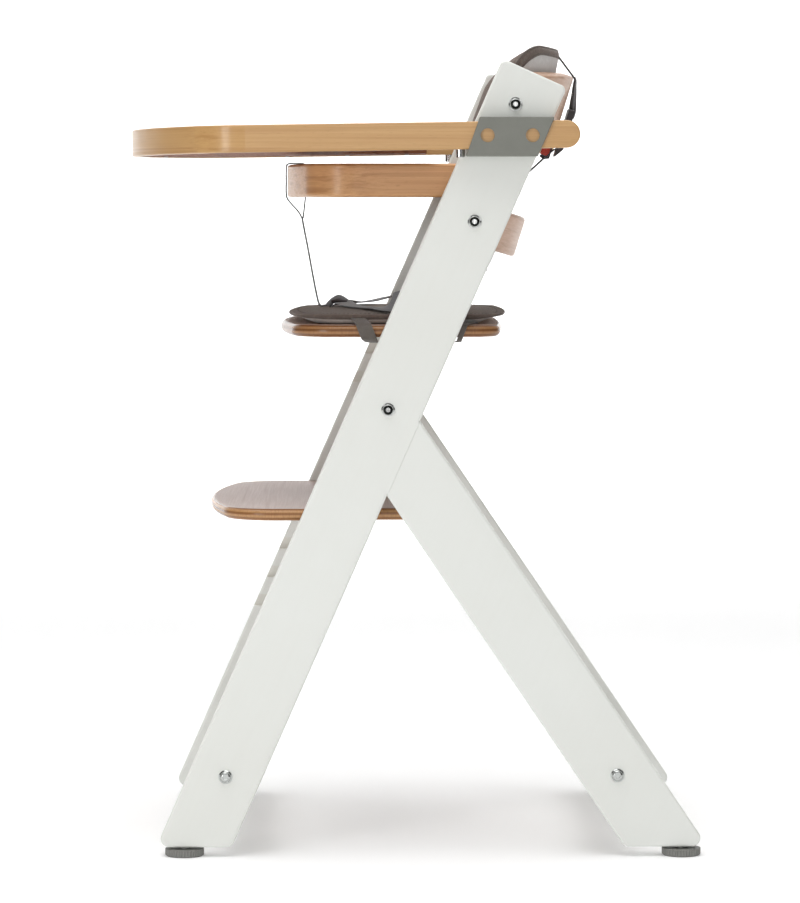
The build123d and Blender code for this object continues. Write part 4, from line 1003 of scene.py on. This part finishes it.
# lap straps: flat from the slide, turned on edge beside the upright, up round the lower back slat
for side, tag in ((1, "left"), (-1, "right")):
    if side == 1:
        lie = [
            (8, -90, 543.6), (22, -86, 541.6), (52, -79, 540.0), (86, -70, 539.6), (120, -60, 539.8), (150, -51.5, 540.4), (170, -45.5, 542.5),
            (180, -41, 546.0), (185.5, -33, 548.6), (188.5, -20, 551.0), (189.5, -4, 554.5), (189, 8, 561.0), (187, 17, 571.5), (183, 22, 586.5),
            (179, 25.5, 600.0)]
        turn = [
            (0.35, 1, 0), (0.3, 1, 0), (-0.25, 1, 0), (-0.3, 1, 0), (-0.3, 1, 0), (-0.3, 1, 0.05), (-0.3, 1, 0.45), (-0.15, 0.5, 1), (0, 0.2, 1),
            (0, 0, 1), (0, -0.2, 1), (0, -0.55, 1), (0.35, -0.85, 0.65), (0.9, -0.6, 0.3), (1, -0.1, 0)]
    else:
        lie = [
            (8, -90, 544.0), (22, -86, 543.0), (52, -78, 541.2), (86, -67.5, 540.6), (120, -57, 541.4), (150, -48, 542.8), (170, -41.5, 544.0),
            (179, -37, 544.8), (186, -28, 546.0), (189, -16, 548.4), (190, -3, 553.0), (189, 8, 560.5), (187, 17, 571.5), (183, 22, 586.5),
            (179, 25.5, 600.0)]
        turn = [
            (0.35, 1, 0), (0.3, 1, 0), (-0.25, 1, 0.04), (-0.3, 1, 0.08), (-0.3, 1, 0.12), (-0.3, 1, 0.16), (-0.3, 1, 0.18), (-0.3, 1, 0.2),
            (-0.2, 1, 0.25), (-0.1, 0.9, 0.5), (0, 0.3, 1), (0, -0.5, 1), (0.35, -0.85, 0.65), (0.9, -0.6, 0.3), (1, -0.1, 0)]
    run = [P(side * x, y, z) for x, y, z in lie]
    acr = [Vector((side * x, y, z)) for x, y, z in turn]
    for n, q in ((-8.4, -20.0), (-8.3, 0.0), (-8.1, 17.5), (-6.4, 21.2), (0.0, 21.4), (6.4, 21.2), (8.1, 17.5), (8.3, 0.0), (8.2, -17.0), (5.0, -24.0), (-1.0, -27.5)):
        run.append(LOW_AT(side * 177, n + bow(177), q))
        acr.append(Vector((side, 0, 0)))
    acr = [a.normalized() for a in acr]
    o = ribbon("lap_web_" + tag, run, acr, 19, 1.3, WEB, 8)
    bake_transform(o)
    if side == 1:
        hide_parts("lap_straps")

# ---------------------------------------------------------------------------
# Harness at the back: from the cushion's top over the slat, doubled down to the buckle
# ---------------------------------------------------------------------------
# the front and inner plies use the shaded copy of the webbing, painted shade; the middle and rear plies use the grey
layers = (
    ("back_web_front", 0.8, WEB_SHADED, [
        (131.0, 798.6), (134.0, 796.0), (140.0, 788.0), (146.0, 780.0), (149.8, 774.9), (151.1, 772.4), (150.6, 767.0), (149.4, 761.0),
        (148.0, 754.0), (146.8, 747.5), (146.2, 742.2)]),
    ("back_web_inner", 1.8, WEB_SHADED, [(151.2, 770.5), (150.1, 764.0), (148.8, 755.0), (148.0, 748.0), (147.6, 741.6)]),
    ("back_web_middle", 1.8, WEB, [(151.4, 770.0), (150.9, 763.0), (150.3, 755.0), (149.8, 748.0), (149.4, 741.2)]),
    ("back_web_rear", 1.5, WEB, [
        (150.6, 774.6), (151.6, 772.6), (152.0, 770.0), (152.0, 764.0), (151.9, 756.0), (151.7, 749.0), (151.7, 744.0), (151.5, 740.0),
        (150.5, 735.6), (149.2, 732.0)]),
)
for nm, k, m, pts in layers:
    o = ribbon(nm, flat_path([(y - 0.8, z) for y, z in pts]), [X_ACROSS.copy() for _ in pts], 22, k, m, 6)
    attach(o, "frame")
    if nm == "back_web_front":
        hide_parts("back_harness_strap")
for side, tag in ((1, "left"), (-1, "right")):
    # the bands use the shaded copy of the webbing: painted shade
    band = [(59.2, -27.0), (56.0, -31.6), (50.0, -41.5), (44.6, -50.8), (40.5, -57.6), (37.5, -63.0), (36.4, -70.0), (36.0, -78.0)]
    o = ribbon(
        "back_band_" + tag, [SLAT_AT(side * 16.7, n - 0.6, q) for n, q in band], [X_ACROSS.copy() for _ in band], 8.4, 1.1, WEB_SHADED, 6)
    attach(o, "frame")

# ---------------------------------------------------------------------------
# Stage: pale floor, soft light, camera at the photograph's angle
# ---------------------------------------------------------------------------
def floor():
    me = bpy.data.meshes.new("floor")
    bm = bmesh.new()
    n = 24
    pts = [(9.0, 0.0), (-6.4, 0.0)]
    for i in range(1, n + 1):
        a = math.pi / 2 * i / n
        pts.append((-6.4 - 1.8 * math.sin(a), 1.8 - 1.8 * math.cos(a)))
    pts.append((-8.2, 7.0))
    rows = [[bm.verts.new((x, y, z)) for x, z in pts] for y in (-9.0, 9.0)]
    for i in range(len(pts) - 1):
        bm.faces.new((rows[0][i], rows[0][i + 1], rows[1][i + 1], rows[1][i]))
    bmesh.ops.recalc_face_normals(bm, faces=bm.faces)
    for f in bm.faces:
        f.smooth = True
    bm.to_mesh(me)
    bm.free()
    o = bpy.data.objects.new("floor", me)
    scene.collection.objects.link(o)
    t = Tree("floor_paper")
    f = t.noise(t.obj(), 3.0, 3.0)
    t.set(color=t.mix(f, (0.92, 0.92, 0.92), (0.89, 0.89, 0.89)), rough=0.9, spec=0.1)
    # evenly lit paper, as on a light table
    t.bsdf.inputs["Emission Color"].default_value = (1.0, 1.0, 1.0, 1.0)
    t.bsdf.inputs["Emission Strength"].default_value = 0.15
    me.materials.append(t.mat)


floor()


def area(name, loc, target, size, power, size_y=None):
    li = bpy.data.lights.new(name, "AREA")
    li.energy = power
    li.shape = "RECTANGLE"
    li.size = size
    li.size_y = size_y or size
    o = bpy.data.objects.new(name, li)
    o.location = loc
    d = Vector(target) - Vector(loc)
    o.rotation_euler = d.to_track_quat("-Z", "Y").to_euler()
    scene.collection.objects.link(o)
    return o


area("top_softbox", (0.3, -0.3, 3.0), (0, 0, 0.4), 2.6, 55.0)
area("side_softbox", (4.4, -1.5, 2.1), (0, 0, 0.45), 1.6, 8.0, 2.0)
area("low_softbox", (2.2, -1.7, 0.62), (0, 0, 0.45), 0.6, 12.0, 1.0)
area("rear_softbox", (3.8, 1.9, 1.8), (0, 0, 0.45), 1.6, 10.0, 2.0)
area("front_fill", (5.8, -0.06, 0.85), (0, 0, 0.45), 1.2, 12.0)

for side in (-1, 1):
    wall = area("wall_wash", (-1.6, side * 2.6, 3.6), (-8.2, side * 0.6, 1.0), 2.2, 110.0)
    wall.visible_camera = False
    wall.data.spread = math.radians(100)

world = bpy.data.worlds.new("studio")
scene.world = world
world.use_nodes = True
wn = world.node_tree
wn.nodes.clear()
wo = wn.nodes.new("ShaderNodeOutputWorld")
bg = wn.nodes.new("ShaderNodeBackground")
wn.links.new(bg.outputs[0], wo.inputs[0])
tc = wn.nodes.new("ShaderNodeTexCoord")
sp = wn.nodes.new("ShaderNodeSeparateXYZ")
wn.links.new(tc.outputs["Generated"], sp.inputs[0])
def world_range(src, lo, hi, a, b):
    n = wn.nodes.new("ShaderNodeMapRange")
    n.interpolation_type = "SMOOTHSTEP"
    wn.links.new(src, n.inputs["Value"])
    for k, v in (("From Min", lo), ("From Max", hi), ("To Min", a), ("To Max", b)):
        n.inputs[k].default_value = v
    return n.outputs[0]


# bright above, dimmer to the sides and behind the camera
mul = wn.nodes.new("ShaderNodeMath")
mul.operation = "MULTIPLY"
wn.links.new(world_range(sp.outputs[2], 0.15, 0.75, 0.30, 0.95), mul.inputs[0])
wn.links.new(world_range(sp.outputs[0], 0.15, 0.85, 1.0, 0.62), mul.inputs[1])
aside = wn.nodes.new("ShaderNodeMath")
aside.operation = "ABSOLUTE"
wn.links.new(sp.outputs[1], aside.inputs[0])
dim = wn.nodes.new("ShaderNodeMath")
dim.operation = "MULTIPLY"
wn.links.new(mul.outputs[0], dim.inputs[0])
wn.links.new(world_range(aside.outputs[0], 0.2, 0.85, 1.0, 0.25), dim.inputs[1])
wn.links.new(dim.outputs[0], bg.inputs["Strength"])
bg.inputs["Color"].default_value = (1.0, 1.0, 1.0, 1.0)

scene.view_settings.view_transform = "Standard"
scene.view_settings.look = "None"
scene.view_settings.exposure = 0.0

F_PX = 4181.14
cam_data = bpy.data.cameras.new("camera")
cam_data.sensor_fit = "AUTO"
cam_data.sensor_width = 36.0
cam_data.lens = F_PX * 36.0 / 903.0
cam_data.clip_end = 60.0
cam = bpy.data.objects.new("camera", cam_data)
cam.location = Vector((4.33, -0.05842, 0.64789))
yaw, pitch = 0.011243, 0.060045
aim = Vector((-1.0, math.tan(yaw), -math.tan(pitch)))
cam.rotation_euler = aim.to_track_quat("-Z", "Y").to_euler()
scene.collection.objects.link(cam)
scene.camera = cam
